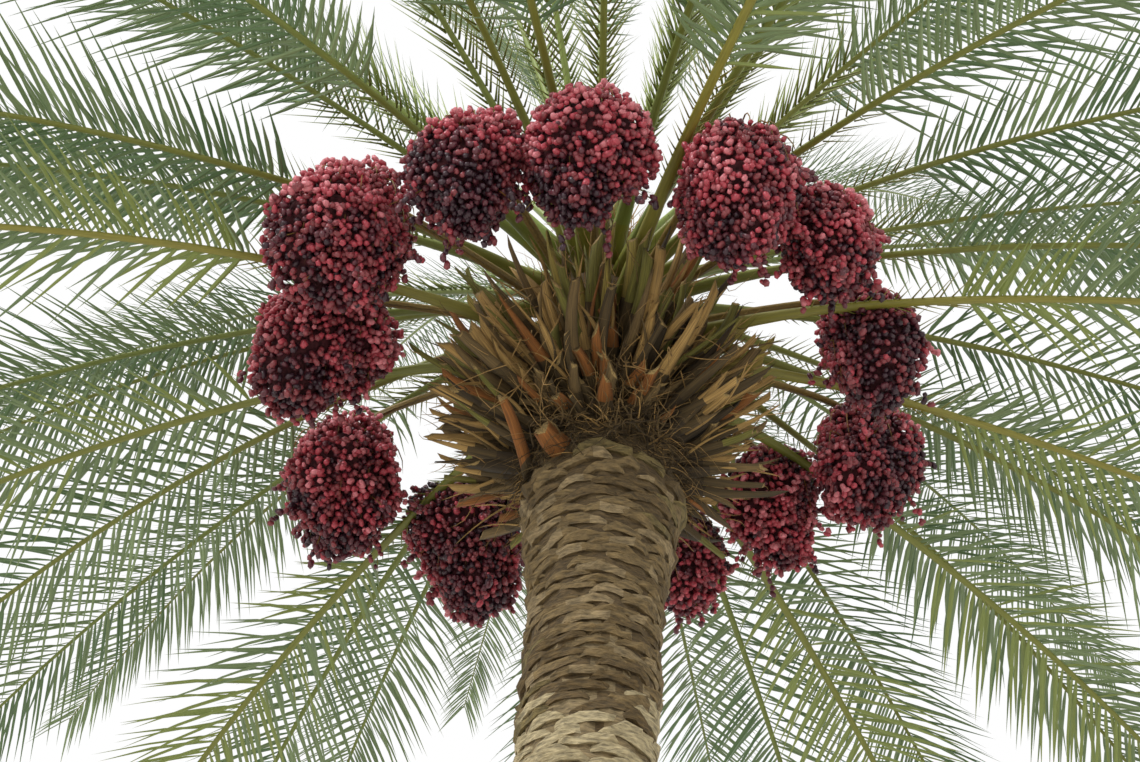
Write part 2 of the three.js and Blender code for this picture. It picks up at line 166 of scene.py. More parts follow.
# The numbers of the shades in each finish, as the lists of tints give them
# Some shades also paint light and shade: pale bark and scars partly painted light, stained scars and
# dark-footed leaf bases partly painted shade, and pale lip shades and pinkish dates painted highlights
BARK_BROWN, BARK_BLEACHED_AND_LIT, BARK_GREEN = range(3)
SCAR_BROWN, SCAR_BLEACHED_AND_LIT, SCAR_STAINED_AND_SHADED, SCAR_OLIVE, SCAR_CREST_HIGHLIGHT, SCAR_PALE_CREST_HIGHLIGHT = range(6)
BASE_BROWN, BASE_STRAW, BASE_ROTTED_AND_SHADED, BASE_RUST, BASE_OLIVE = range(5)
BASE_STAINED_AND_SHADED, BASE_PALE_OLIVE, BASE_CUT = range(5, 8)
RIB_GOLDEN, RIB_GREEN, RIB_PALE, RIB_FOOT, RIB_DULL = range(5)
DATE_RED, DATE_BRIGHT, DATE_DARK, DATE_BLACK, DATE_PINK_HIGHLIGHT = range(5)

# The photograph's camera and the studio
PHOTO_WIDTH_PIXELS = 1140
FOCAL_PIXELS = 1800
SENSOR_MM = 36
CAMERA_PLACE = (LEAN - 0.112, -4.46, 1.6)
CAMERA_CLIMB = 47.5
FLOOR_HALF_WIDTH = 40
LIGHT_DISTANCE = 12

UP = np.array([0.0, 0.0, 1.0])


# The rule's helpers, on single numbers or on whole arrays of them


def wobble(count, salt):
    """A number from -1 to 1 that looks random but is always the same for the same count and salt."""
    spread = np.sin(np.asarray(count, float) * 12.9898 + salt * 78.233) * 43758.5453
    return (spread - np.floor(spread)) * 2 - 1


def mix(first, last, share):
    return first + (last - first) * share


def smooth(value, low, high):
    share = np.clip((np.asarray(value, float) - low) / (high - low), 0, 1)
    return share * share * (3 - 2 * share)


def lean_at(height):
    return LEAN * np.clip(np.asarray(height, float) / NECK_HEIGHT, 0, 1) ** LEAN_POWER


def round_trunk(azimuth, reach, height):
    """A point given round the trunk's own axis, azimuth in degrees."""
    turn = np.radians(azimuth)
    x, y = lean_at(height) + reach * np.cos(turn), reach * np.sin(turn)
    return np.stack(np.broadcast_arrays(x, y, np.asarray(height, float)), -1)


def heading(azimuth, elevation):
    turn, climb = np.radians(azimuth), np.radians(elevation)
    way = (np.cos(climb) * np.cos(turn), np.cos(climb) * np.sin(turn), np.sin(climb))
    return np.stack(np.broadcast_arrays(*way), -1).astype(float)


def unit(vectors):
    return vectors / np.maximum(np.linalg.norm(vectors, axis=-1, keepdims=True), 1e-12)


def trunk_radius(height):
    height = np.asarray(height, float)
    flare = FLARE_RADIUS * np.exp(-height / FLARE_HEIGHT)
    swell = (NECK_RADIUS - TRUNK_RADIUS) * smooth(height, NECK_BELOW, NECK_HEIGHT)
    taper = (NECK_RADIUS - HEART_RADIUS) * smooth(height, STUB_HIGHEST, HEART_HEIGHT)
    close = (HEART_RADIUS - TIP_RADIUS) * smooth(height, HEART_HEIGHT, TIP_HEIGHT)
    return TRUNK_RADIUS + flare + swell - taper - close


def frames(along, azimuth, roll=0.0):
    """Left and up across each way, rolled about it."""
    level = heading(np.asarray(azimuth, float) + 90, 0)
    upright = unit(np.cross(along, level))
    turn = np.radians(np.asarray(roll, float))[..., None]
    left = level * np.cos(turn) + upright * np.sin(turn)
    return left, upright * np.cos(turn) - level * np.sin(turn)


def low_frond(k):
    gap, off, height, elevation = LOW_FRONDS[k]
    before, after = BUNCHES[gap][0], BUNCHES[(gap + 1) % len(BUNCHES)][0]
    return {
        "azimuth": (before + after) / 2 + off,
        "height": height,
        "elevation": elevation,
        "sag": LOW_FROND["sag"] + 4 * wobble(k, 2),
        "kick": LOW_FROND["kick"],
        "length": LOW_FROND["length"] + 0.12 * wobble(k, 3),
        "roll": 10 * wobble(k, 4),
        "swerve": 5 * wobble(k, 5),
        "size": LOW_FROND["size"],
    }


def upper_frond(k):
    age = k / (OUTER_COUNT + YOUNG_COUNT - 1)
    young = k >= OUTER_COUNT
    share = (k - OUTER_COUNT) / (YOUNG_COUNT - 1) if young else k / (OUTER_COUNT - 1)
    rise = mix(*YOUNG_ELEVATIONS, share) if young else mix(*OUTER_ELEVATIONS, share**2)
    return {
        "azimuth": OUTER_START_AZIMUTH + k * GOLDEN_ANGLE + 2 * wobble(k, 6),
        "height": mix(*(YOUNG_HEIGHTS if young else OUTER_HEIGHTS), share),
        "elevation": rise,
        "sag": mix(OLD_FROND["sag"], NEWEST_FROND["sag"], age) + 3 * wobble(k, 8),
        "kick": mix(OLD_FROND["kick"], NEWEST_FROND["kick"], age),
        "length": mix(OLD_FROND["length"], NEWEST_FROND["length"], age**1.4) + 0.11 * wobble(k, 9),
        "roll": 9 * wobble(k, 10),
        "swerve": 5 * wobble(k, 11),
        "size": mix(OLD_FROND["size"], NEWEST_FROND["size"], age),
    }


def follow_rib(frond, steps=220):
    """The rib as arrays: how far along, where, which way, left and up."""
    step = (frond["length"] + FROND_SINK) / steps
    middle = np.maximum(-FROND_SINK + (np.arange(steps) + 0.5) * step, 0)
    share = middle / frond["length"]
    climb = frond["elevation"] + frond["kick"] * np.exp(-middle / KICK_REACH)
    climb = climb - frond["sag"] * share**1.5
    turn = frond["azimuth"] + frond["swerve"] * share**2
    ways = heading(turn, climb)
    reach = trunk_radius(frond["height"]) - FROND_SINK
    start = round_trunk(frond["azimuth"], reach, frond["height"])
    points = np.vstack([start, start + np.cumsum(ways * step, axis=0)])
    ways = np.vstack([ways[:1], ways])
    turn = np.concatenate([turn[:1], turn])
    walked = -FROND_SINK + np.arange(steps + 1) * step
    left, up = frames(ways, turn, frond["roll"] * np.maximum(walked, 0) / frond["length"])
    return {"walked": walked, "point": points, "way": ways, "left": left, "up": up}


def at(rib, walked):
    """The rib's point, way, left and up at any distances along it."""
    found = []
    for key in ("point", "way", "left", "up"):
        rows = [np.interp(walked, rib["walked"], rib[key][:, axis]) for axis in range(3)]
        found.append(np.stack(rows, -1))
    return found[0], unit(found[1]), unit(found[2]), unit(found[3])


def rib_size(walked, frond):
    foot = np.exp(-np.maximum(walked, 0) / FOOT_REACH)
    beyond = np.maximum(walked - PETIOLE_LENGTH, 0) / (frond["length"] - PETIOLE_LENGTH)
    width = mix(STALK_WIDTH, END_WIDTH, beyond) + (BASE_WIDTH - STALK_WIDTH) * foot
    thick = mix(STALK_THICKNESS, END_THICKNESS, beyond) + (BASE_THICKNESS - STALK_THICKNESS) * foot
    return width * frond["size"], thick * frond["size"]


# Colours and materials


def linear(hex_colour):
    """An sRGB colour written as six hex digits, turned to linear light."""
    parts = [int(hex_colour[i : i + 2], 16) / 255 for i in (0, 2, 4)]
    return tuple(p / 12.92 if p <= 0.04045 else ((p + 0.055) / 1.055) ** 2.4 for p in parts)


def add_node(material, kind, values=(), links=()):
    """One node with its socket values set, and its inputs linked from other nodes' outputs."""
    node = material.node_tree.nodes.new(kind)
    for name, value in values:
        if name in node.inputs:
            node.inputs[name].default_value = value
        else:
            setattr(node, name, value)
    for name, output in links:
        material.node_tree.links.new(output, node.inputs[name])
    return node


def grained(name, colour, grain_mm, depth_mm, roughness, contrast=0.25, stretch=(1, 1, 1), **more):
    """A surface whose colour, gloss and relief all vary with one noise of the given grain."""
    material = bpy.data.materials.new(name)
    material.use_nodes = True
    tree = material.node_tree
    shader = tree.nodes["Principled BSDF"]
    place = add_node(material, "ShaderNodeTexCoord")
    source = place.outputs["UV" if more.get("uv") else "Object"]
    scaled = add_node(material, "ShaderNodeMapping", [("Scale", stretch)], [("Vector", source)])
    noise = add_node(
        material,
        "ShaderNodeTexNoise",
        [("Scale", 1000 / grain_mm), ("Detail", 3.0), ("Roughness", 0.6)],
        [("Vector", scaled.outputs["Vector"])],
    )
    ramp = add_node(material, "ShaderNodeValToRGB", links=[("Fac", noise.outputs["Fac"])])
    dark = tuple(c * (1 - contrast) for c in colour)
    light = tuple(min(c * (1 + contrast), 1) for c in colour)
    ramp.color_ramp.elements[0].position = 0.32
    ramp.color_ramp.elements[1].position = 0.68
    ramp.color_ramp.elements[0].color = (*dark, 1)
    ramp.color_ramp.elements[1].color = (*light, 1)
    tree.links.new(ramp.outputs["Color"], shader.inputs["Base Color"])
    gloss = add_node(
        material,
        "ShaderNodeMapRange",
        [("To Min", max(roughness - 0.1, 0)), ("To Max", min(roughness + 0.1, 1))],
        [("Value", noise.outputs["Fac"])],
    )
    tree.links.new(gloss.outputs["Result"], shader.inputs["Roughness"])
    bump = add_node(
        material,
        "ShaderNodeBump",
        [("Strength", 0.7), ("Distance", depth_mm / 1000)],
        [("Height", noise.outputs["Fac"])],
    )
    tree.links.new(bump.outputs["Normal"], shader.inputs["Normal"])
    shader.inputs["Specular IOR Level"].default_value = more.get("specular", 0.5)
    shader.inputs["Coat Weight"].default_value = more.get("coat", 0.0)
    shader.inputs["Coat Roughness"].default_value = more.get("coat_roughness", 0.3)
    return material


# Meshes


class Shape:
    """A closed shape made once by bmesh operators and copied many times: its corners and faces, and, on a
    tube, each corner's ring and side."""

    def __init__(self, mesh, sides=1, pointed=False):
        bmesh.ops.recalc_face_normals(mesh, faces=mesh.faces)
        mesh.verts.index_update()
        self.corners = np.array([vert.co[:] for vert in mesh.verts])
        # Set in order, because the operators leave the order of the faces, and the corner that each starts
        # from once a tube is merged to a point, to chance
        faces = [tuple(vert.index for vert in face.verts) for face in mesh.faces]
        if pointed:
            starts = [face.index(min(face)) for face in faces]
            faces = [face[start:] + face[:start] for face, start in zip(faces, starts)]
        self.faces = sorted(faces, key=sorted)
        self.sides = sides
        self.ring = np.round(self.corners[:, 2]).astype(int)
        turn = np.arctan2(self.corners[:, 1], self.corners[:, 0]) / (2 * math.pi) * sides
        self.side = np.round(turn).astype(int) % sides
        mesh.free()

    def pick(self, rings):
        """The corners of copies whose rings are given as (copies, rings, sides, ...)."""
        return rings[:, self.ring, self.side]

    def on(self, rings=None, sides=None):
        """Which faces have all their corners on these rings and sides."""
        found = np.ones(len(self.faces), bool)
        for wanted, place in ((rings, self.ring), (sides, self.side)):
            if wanted is not None:
                found &= np.array([set(place[list(face)]) <= set(wanted) for face in self.faces])
        return found


def tube(sides, rings, pointed=False):
    """A tube extruded ring by ring from a circle, and closed by a face or drawn to a point."""
    mesh = bmesh.new()
    bmesh.ops.create_circle(mesh, cap_ends=True, radius=1, segments=sides)
    edges, verts = mesh.edges[:], mesh.verts[:]
    for _ in range(rings - 1):
        made = bmesh.ops.extrude_edge_only(mesh, edges=edges)["geom"]
        edges = [item for item in made if isinstance(item, bmesh.types.BMEdge)]
        verts = [item for item in made if isinstance(item, bmesh.types.BMVert)]
        bmesh.ops.translate(mesh, verts=verts, vec=(0, 0, 1))
    if pointed:
        bmesh.ops.pointmerge(mesh, verts=verts, merge_co=(0, 0, rings - 1))
    else:
        bmesh.ops.contextual_create(mesh, geom=edges)
    return Shape(mesh, sides, pointed)


def ovoid(sides, rings):
    """A date, a little fuller towards its free end."""
    mesh = bmesh.new()
    bmesh.ops.create_uvsphere(mesh, u_segments=sides, v_segments=rings + 1, radius=1)
    for vert in mesh.verts:
        full = 1 + 0.1 * vert.co.z
        vert.co = Vector((vert.co.x * full, vert.co.y * full, vert.co.z))
    return Shape(mesh)


def sweep(points, left, up, widths, heights, outline):
    """Rings of tubes. points, left and up are (tubes, rings, 3), widths and heights (tubes, rings), and
    outline (sides, 2) is the section, in halves of width and height."""
    across = left[:, :, None] * (widths[..., None] * outline[:, 0] / 2)[..., None]
    upright = up[:, :, None] * (heights[..., None] * outline[:, 1] / 2)[..., None]
    return points[:, :, None] + across + upright


def sweep_grains(points, sides, turn_width):
    """Grain places on such tubes, in metres: round the section, and along the tube."""
    steps = np.linalg.norm(np.diff(points, axis=1), axis=-1)
    along = np.concatenate([np.zeros((len(points), 1)), np.cumsum(steps, axis=1)], axis=1)
    along = along + np.arange(len(points))[:, None] * 1.7
    turn = np.broadcast_to(np.arange(sides) / sides * turn_width, (*along.shape, sides))
    return np.stack([turn, np.broadcast_to(along[..., None], turn.shape)], -1)


def ring_outline(sides):
    """A round section, counter-clockwise about the way ahead."""
    turn = np.arange(sides) / sides * 2 * math.pi
    return np.stack([np.cos(turn), np.sin(turn)], -1)


def curve_frames(points):
    """Left and up along each of a set of point rows, with left kept level."""
    ways = unit(np.gradient(points, axis=1))
    left = unit(np.cross(np.broadcast_to(UP, ways.shape), ways) + 1e-9)
    return left, unit(np.cross(ways, left))


def add_round(soup, shape, points, width, colours, flatness=1.0):
    """Copies of a tube along rows of points, as wide as given at each ring."""
    left, up = curve_frames(points)
    width = np.broadcast_to(width, points.shape[:2])
    rings = sweep(points, left, up, width, width * flatness, ring_outline(shape.sides))
    soup.add(shape, shape.pick(rings), colours)


def bend_through(first, middle, last, count):
    """Rows of points on smooth curves from first to last that lean towards middle."""
    t = np.linspace(0, 1, count)[None, :, None]
    return first[:, None] * (1 - t) ** 2 + middle[:, None] * 2 * t * (1 - t) + last[:, None] * t**2


class Soup:
    """Copies of shapes gathered into one mesh."""

    def __init__(self):
        self.corners, self.loops, self.sizes, self.colours, self.grains = [], [], [], [], []
        self.count = 0

    def add(self, shape, corners, colours, grains=None):
        """Adds copies of a shape. corners is (copies, corners, 3), colours one number a copy or a face of
        each copy, and grains is like corners but ends in 2."""
        copies, each = corners.shape[:2]
        flat = np.concatenate(shape.faces)
        first = self.count + np.arange(copies)[:, None] * each
        self.loops.append((first + flat[None, :]).ravel())
        self.sizes.append(np.tile([len(face) for face in shape.faces], copies))
        colours = np.asarray(colours)
        if colours.ndim == 1:
            colours = np.repeat(colours[:, None], len(shape.faces), axis=1)
        self.colours.append(colours.ravel())
        none = np.zeros((copies * len(flat), 2))
        self.grains.append(none if grains is None else grains[:, flat].reshape(-1, 2))
        self.corners.append(corners.reshape(-1, 3))
        self.count += copies * each

    def make(self, name, materials, slot, nodes=(), shade_smooth=True):
        """The gathered shapes as one object that rides on the palm's body."""
        mesh = bpy.data.meshes.new(name)
        corners = np.concatenate(self.corners).astype(np.float32)
        loops = np.concatenate(self.loops).astype(np.int32)
        sizes = np.concatenate(self.sizes).astype(np.int32)
        if (sizes - 2).sum() >= MOST_TRIANGLES:
            raise RuntimeError(name + " has too many triangles")
        mesh.vertices.add(len(corners))
        mesh.vertices.foreach_set("co", corners.ravel())
        mesh.loops.add(len(loops))
        mesh.loops.foreach_set("vertex_index", loops)
        mesh.polygons.add(len(sizes))
        starts = np.concatenate([[0], np.cumsum(sizes)[:-1]]).astype(np.int32)
        mesh.polygons.foreach_set("loop_start", starts)
        for material in materials:
            mesh.materials.append(material)
        mesh.polygons.foreach_set("material_index", np.concatenate(self.colours).astype(np.int32))
        mesh.polygons.foreach_set("use_smooth", np.full(len(sizes), shade_smooth))
        layer = mesh.uv_layers.new(name="grain")
        layer.data.foreach_set("uv", np.concatenate(self.grains).astype(np.float32).ravel())
        mesh.update(calc_edges=True)
        if mesh.validate():
            raise RuntimeError(name + " has faces that had to be mended")
        return settle(bpy.data.objects.new(name, mesh), nodes)


def settle(piece, nodes=()):
    bpy.context.scene.collection.objects.link(piece)
    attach(piece, "root")
    if nodes:
        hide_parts(*nodes)
    return piece


# Sizes and colours, kept on the scene


def length_property(name, default, description):
    return bpy.props.FloatProperty(
        name=name, default=default, min=0.0, unit="LENGTH", description=description
    )


def colour_property(name, hex_colour, description):
    return bpy.props.FloatVectorProperty(
        name=name, default=linear(hex_colour), min=0, max=1, subtype="COLOR", description=description
    )


class PalmSizes(bpy.types.PropertyGroup):
    scar_width: length_property("Leaf scar width", 0.23, "Width of one leaf scar on the trunk")
    scar_height: length_property("Leaf scar height", 0.09, "Height of one leaf scar on the trunk")
    scar_relief: length_property("Leaf scar relief", 0.024, "How far a scar stands out from the bark")
    scar_rise: length_property("Scar spacing", 0.0078, "Height from one scar to the next in the spiral")
    blade_width: length_property("Leaf base width", 0.05, "Width of a cut leaf base")
    leaflets: bpy.props.IntProperty(
        name="Leaflets a side", default=116, min=10, description="Leaflets on each side of a frond"
    )
    leaflet_width: length_property("Leaflet width", 0.0175, "Width of a leaflet laid flat")
    date_length: length_property("Date length", 0.035, "Length of one date")
    date_width: length_property("Date width", 0.0235, "Thickness of one date")
    date_spacing: length_property("Date spacing", 0.0256, "Distance between dates on a bunch")


class PalmColours(bpy.types.PropertyGroup):
    bark: colour_property("Bark", "6e5c3d", "Weathered face of a leaf scar")
    # Darker than the scars, partly as painted shade in the gaps between them
    shaded_bark_gap: colour_property("Bark gaps", "54442b", "Bark between the scars")
    leaf_base: colour_property("Cut leaf base", "685432", "Dry outside of a cut leaf base")
    cut: colour_property("Cut face", "927a4c", "Pale end grain of a cut leaf base")
    fibre: colour_property("Fibre", "6a5533", "Brown fibre between the leaf bases")
    leaflet: colour_property("Leaflet", "6e8158", "Grown leaflet")
    rib: colour_property("Rib", "7c7540", "Rib and petiole of a grown frond")
    date: colour_property("Date", "873c43", "Ripe date")
    strand: colour_property("Fruit strand", "8a602c", "Strand that the dates hang on")


def shades(name, colour, factors, **look):
    """One finish in several shades, for dealing out piece by piece."""
    made = []
    for number, factor in enumerate(factors):
        tint = tuple(min(part * share, 1) for part, share in zip(colour, factor))
        made.append(grained(f"{name} {number + 1}", tint, **look))
    return made


def deal(numbers, weights):
    """Turns numbers from -1 to 1 into colours 0, 1, 2 ... by their weights."""
    ends = np.cumsum(weights) / np.sum(weights)
    return np.minimum(np.searchsorted(ends, (np.asarray(numbers) + 1) / 2), len(weights) - 1)


def jitter(key, salt):
    """A vector whose three parts are each a wobble."""
    return np.stack([wobble(key, salt), wobble(key, salt + 1), wobble(key, salt + 2)], -1)


def spiral_ways(steps, rise, start):
    """Ways out of a ball's middle that wind down it from a first turn, with their heights from -1 to 1."""
    turn, level = np.radians(steps * GOLDEN_ANGLE + start), np.sqrt(1 - rise**2)
    return np.stack([level * np.cos(turn), level * np.sin(turn), rise], -1)


def lumps(places, seed, size):
    """A slowly changing number from about -1 to 1 over places, for clusters of that size in metres."""
    rng = np.random.default_rng(seed)
    total = np.zeros(len(places))
    for _ in range(5):
        way = unit(rng.normal(size=3))
        total += np.sin(places @ way / size * 2.2 + rng.uniform(0, 6.3))
    return total / 2.6


# Operators, one for each piece or group of like pieces


class PALM_OT_trunk(bpy.types.Operator):
    """Trunk: a fibrous core from the ground to the tip of the heart, under overlapping leaf scars"""

    bl_idname = "palm.trunk"
    bl_label = "Grow trunk"

    def execute(self, context):
        sizes, colours = context.scene.palm_sizes, context.scene.palm_colours
        # Bark between the scars: brown, matt and fibrous, darker than the scars, partly painted shade,
        # bleached and partly painted light low down, and green round the heart
        tints = ((1, 1, 1), (2.2, 2.5, 3.1), (1.3, 1.75, 1.2))
        look = {"grain_mm": 13, "depth_mm": 12, "roughness": 0.95, "contrast": 0.5}
        gaps = shades("Shaded fibrous bark", colours.shaded_bark_gap, tints, stretch=(0.4, 0.4, 1.7), **look)
        self.make_core(gaps)
        # Weathered scars, dry and fibrous: brown; bleached, paler low down, partly painted light; stained,
        # darker high up, partly painted shade; olive; and two painted highlights for the lips and crests
        tints = ((1, 1, 1), (2.3, 2.75, 3.7), (0.68, 0.65, 0.6), (0.92, 1, 0.86))
        tints += ((1.45, 1.55, 1.85), (2.9, 3.6, 5.1))
        look = {"grain_mm": 15, "depth_mm": 16, "roughness": 0.88, "contrast": 0.5}
        scars = shades("Weathered leaf scar", colours.bark, tints, stretch=(0.4, 0.4, 1.9), **look)
        self.make_scars(sizes, scars)
        return {"FINISHED"}

    def make_core(self, materials):
        foot, scarred = [0, 0.03, 0.08, 0.15, 0.25, 0.35], np.arange(0.4, 5.9, 0.045)
        head, heart = np.arange(5.9, HEART_HEIGHT, 0.1), np.linspace(HEART_HEIGHT, TIP_HEIGHT, 9)
        heights = np.concatenate([foot, scarred, head, heart])
        core = tube(CORE_SIDES, len(heights))
        turn = np.arange(CORE_SIDES) / CORE_SIDES * 2 * math.pi
        up = heights[:, None]
        ripple = 0.0025 * np.sin(9 * turn + 5 * up) + 0.002 * np.sin(17 * turn - 31 * up)
        ripple = ripple + 0.005 * wobble(np.arange(ripple.size).reshape(ripple.shape), 55)
        ripple = ripple * mix(1, 0.4, smooth(up, HEART_HEIGHT - 0.2, HEART_HEIGHT))
        radius = trunk_radius(up) - 0.008 + ripple
        rings = round_trunk(np.degrees(turn)[None, :], radius, up)
        place = np.array([heights[core.ring[face[0]]] for face in core.faces])
        place = place + 0.3 * wobble(np.arange(len(core.faces)), 56)
        # Green round the heart, and paler low down, bleached and partly painted light
        colours = np.where(place > HEART_HEIGHT, BARK_GREEN, BARK_BROWN)
        colours = np.where(place < BLEACHED_AND_LIT_BELOW, BARK_BLEACHED_AND_LIT, colours)
        soup = Soup()
        soup.add(core, core.pick(rings[None]), colours[None, :])
        soup.make("trunk_core", materials, "bark", ["trunk"])

    def make_scars(self, sizes, materials):
        # Scars stand closer together on the upper trunk, and the last ones make a scaly rim
        k = np.arange(SCAR_LIMIT)
        close = smooth(k, 500, 700)
        height = 0.015 + np.cumsum(sizes.scar_rise * mix(1, 0.6, close))
        below = height < NECK_HEIGHT - 0.01
        close, k = close[below], k[below]
        height = height[below] + 0.012 * wobble(k, 40)
        rim = smooth(height, 5.72, 5.82)
        turn = np.radians(k * GOLDEN_ANGLE) + 0.13 * wobble(k, 41)
        half = sizes.scar_width / 2 * (1 + 0.28 * wobble(k, 42)) * (1 - 0.2 * rim)
        tall = sizes.scar_height * (1 + 0.25 * wobble(k, 43))
        tall = tall * mix(1.2, 0.62, close) * (1 + 0.3 * rim)
        relief = sizes.scar_relief * (1 + 0.4 * wobble(k, 44))
        relief = relief * mix(1, 0.75, close) * (1 + 0.5 * rim)
        relief = relief * mix(0.5, 1, smooth(height, 0.1, 0.7))
        scar = tube(len(SCAR_SECTION), SCAR_COLUMNS)
        rings = self.shape_scars(k, height, turn, half, tall, relief)
        soup = Soup()
        soup.add(scar, scar.pick(rings), self.colour_scars(scar, k, height, turn))
        soup.make("trunk_leaf_scars", materials, "bark", ["trunk"], shade_smooth=False)

    def shape_scars(self, k, height, turn, half, tall, relief):
        """Corners of the scars, column by column and up each one: bowed, tilted, wavy and dented."""
        u = np.sin(np.linspace(1, -1, SCAR_COLUMNS) * math.pi / 2)
        phase = 3 * wobble(k, 45)[:, None]
        wave = 0.6 * np.sin(2.6 * u + phase) + 0.4 * np.sin(6.1 * u + 2 * phase)
        column = k[:, None] * SCAR_COLUMNS + np.arange(SCAR_COLUMNS)
        dent = 0.6 * np.sin(4.3 * u - 1.7 * phase) + 0.4 * wobble(column, 50)
        bow, tilt = 0.25 + 0.3 * wobble(k, 48)[:, None], 0.3 * wobble(k, 49)[:, None]
        lift = tilt * u - bow * 0.5 * u**2
        lift = lift[..., None] + 0.2 * wave[..., None] * mix(0.4, 1, SCAR_SECTION)
        pinch = (1 - 0.6 * u**2)[None, :, None]
        z = height[:, None, None] + tall[:, None, None] * ((SCAR_SECTION - 0.5) * pinch + lift)
        z = np.maximum(z, 0.002)
        rough = 1 + 0.36 * dent[..., None] + 0.34 * wobble(np.arange(z.size).reshape(z.shape), 53)
        end = np.abs(u)[None, :, None] ** 5
        stand = relief[:, None, None] * SCAR_STAND * (1 - end) * rough
        far = trunk_radius(z) - 0.004 + stand - 0.02 * end
        angle = turn[:, None, None] + half[:, None, None] * u[None, :, None] / trunk_radius(z)
        return np.stack([lean_at(z) + far * np.cos(angle), far * np.sin(angle), z], -1)

    def colour_scars(self, scar, k, height, turn):
        """Shades for the scars' faces, in slow patches: most bleached at half height and darker at the rim,
        partly painted light and shade.
        """
        pale = mix(1, 0.1, smooth(height, 4.55, 5.3)) * mix(0.45, 1, smooth(height, 3.2, 4.5))
        dark = mix(0.04, 0.34, smooth(height, 5.1, 5.6))
        place = round_trunk(np.degrees(turn), TRUNK_RADIUS, height)
        pick = np.clip(0.5 + 0.25 * lumps(place, 7, 0.3) + 0.45 * wobble(k, 47), 0, 1)
        colours = np.where(lumps(place, 8, 0.4) + wobble(k, 51) < -0.4, SCAR_OLIVE, SCAR_BROWN)
        # Stained scars, mostly near the rim, are partly painted shade, and bleached ones, mostly at half
        # height, partly painted light
        colours = np.where(pick > 1 - dark, SCAR_STAINED_AND_SHADED, colours)
        colours = np.where(pick < pale, SCAR_BLEACHED_AND_LIT, colours)
        colours = np.repeat(colours[:, None], len(scar.faces), axis=1)
        # High up only the lip of a bleached scar stays pale, as a painted highlight, and lips and crests
        # everywhere get painted highlights in patches
        lip, front = scar.on(sides=(2, 3))[None, :], scar.on(sides=(1, 2))[None, :]
        high = (height > LIPS_ONLY_ABOVE)[:, None]
        colours[high & ~lip & (colours == SCAR_BLEACHED_AND_LIT)] = SCAR_BROWN
        column = scar.ring[[face[0] for face in scar.faces]][None, :] // 2
        highlight_patch = wobble(k[:, None] * 7 + column, 52) > 0.1
        plain = (colours == SCAR_BROWN) | (colours == SCAR_OLIVE)
        colours[lip & highlight_patch & plain] = SCAR_CREST_HIGHLIGHT
        colours[front & highlight_patch & (colours == SCAR_BROWN) & (wobble(k, 54) > 0.2)[:, None]] = SCAR_CREST_HIGHLIGHT
        colours[lip & highlight_patch & (colours == SCAR_STAINED_AND_SHADED)] = SCAR_BROWN
        colours[lip & highlight_patch & (colours == SCAR_BLEACHED_AND_LIT)] = SCAR_PALE_CREST_HIGHLIGHT
        return colours


def clear_of_stalks(points):
    """How near rows of points come to the petioles and fruit stalks that leave the head."""
    walked = np.linspace(0.0, 0.8, 24)
    fronds = [low_frond(k) for k in range(len(LOW_FRONDS))] + [upper_frond(k) for k in range(OUTER_COUNT)]
    stalks = [at(follow_rib(frond), walked)[0] for frond in fronds]
    stalks += [fruit_stalk(bunch, 30)[:20] for bunch in BUNCHES]
    away = points[..., None, :] - np.concatenate(stalks)
    away[..., 2] *= 1.7
    return np.linalg.norm(away, axis=-1).min(axis=-1)


def fruit_stalk(bunch, count):
    """Points along a bunch's stalk, out from the head, over its crest and down into the bunch."""
    azimuth, reach, width, tallness = bunch
    top = BUNCH_HEIGHT + width / 2 * tallness
    crest = max(top + 0.035, FRUIT_STALK_HEIGHT)
    knots = (
        (0.16, FRUIT_STALK_HEIGHT - 0.04),
        (0.33, FRUIT_STALK_HEIGHT + 0.01),
        (reach * 0.62, mix(FRUIT_STALK_HEIGHT, crest, 0.6) + 0.012),
        (reach * 0.9, crest - 0.008),
        (reach, top - 0.06),
    )
    return through(np.array([round_trunk(azimuth, out, height) for out, height in knots]), count)


def through(knots, count):
    """Points on a smooth curve through the knots."""
    ends = np.vstack([2 * knots[0] - knots[1], knots, 2 * knots[-1] - knots[-2]])
    points = []
    for place in np.linspace(0, len(knots) - 1.0001, count):
        i, t = int(place), place - int(place)
        a, b, c, d = ends[i : i + 4]
        square, cube = 2 * a - 5 * b + 4 * c - d, 3 * b - a - 3 * c + d
        points.append(0.5 * (2 * b + (c - a) * t + square * t**2 + cube * t**3))
    return np.array(points)


def in_hollow(azimuth, height):
    """The dark fibrous hollow low in the front of the rosette, just over the trunk's rim."""
    off_front = np.abs((np.asarray(azimuth) + 270) % 360 - 180)
    return (off_front < HOLLOW_HALF_TURN) & (np.asarray(height) < HOLLOW_TOP)


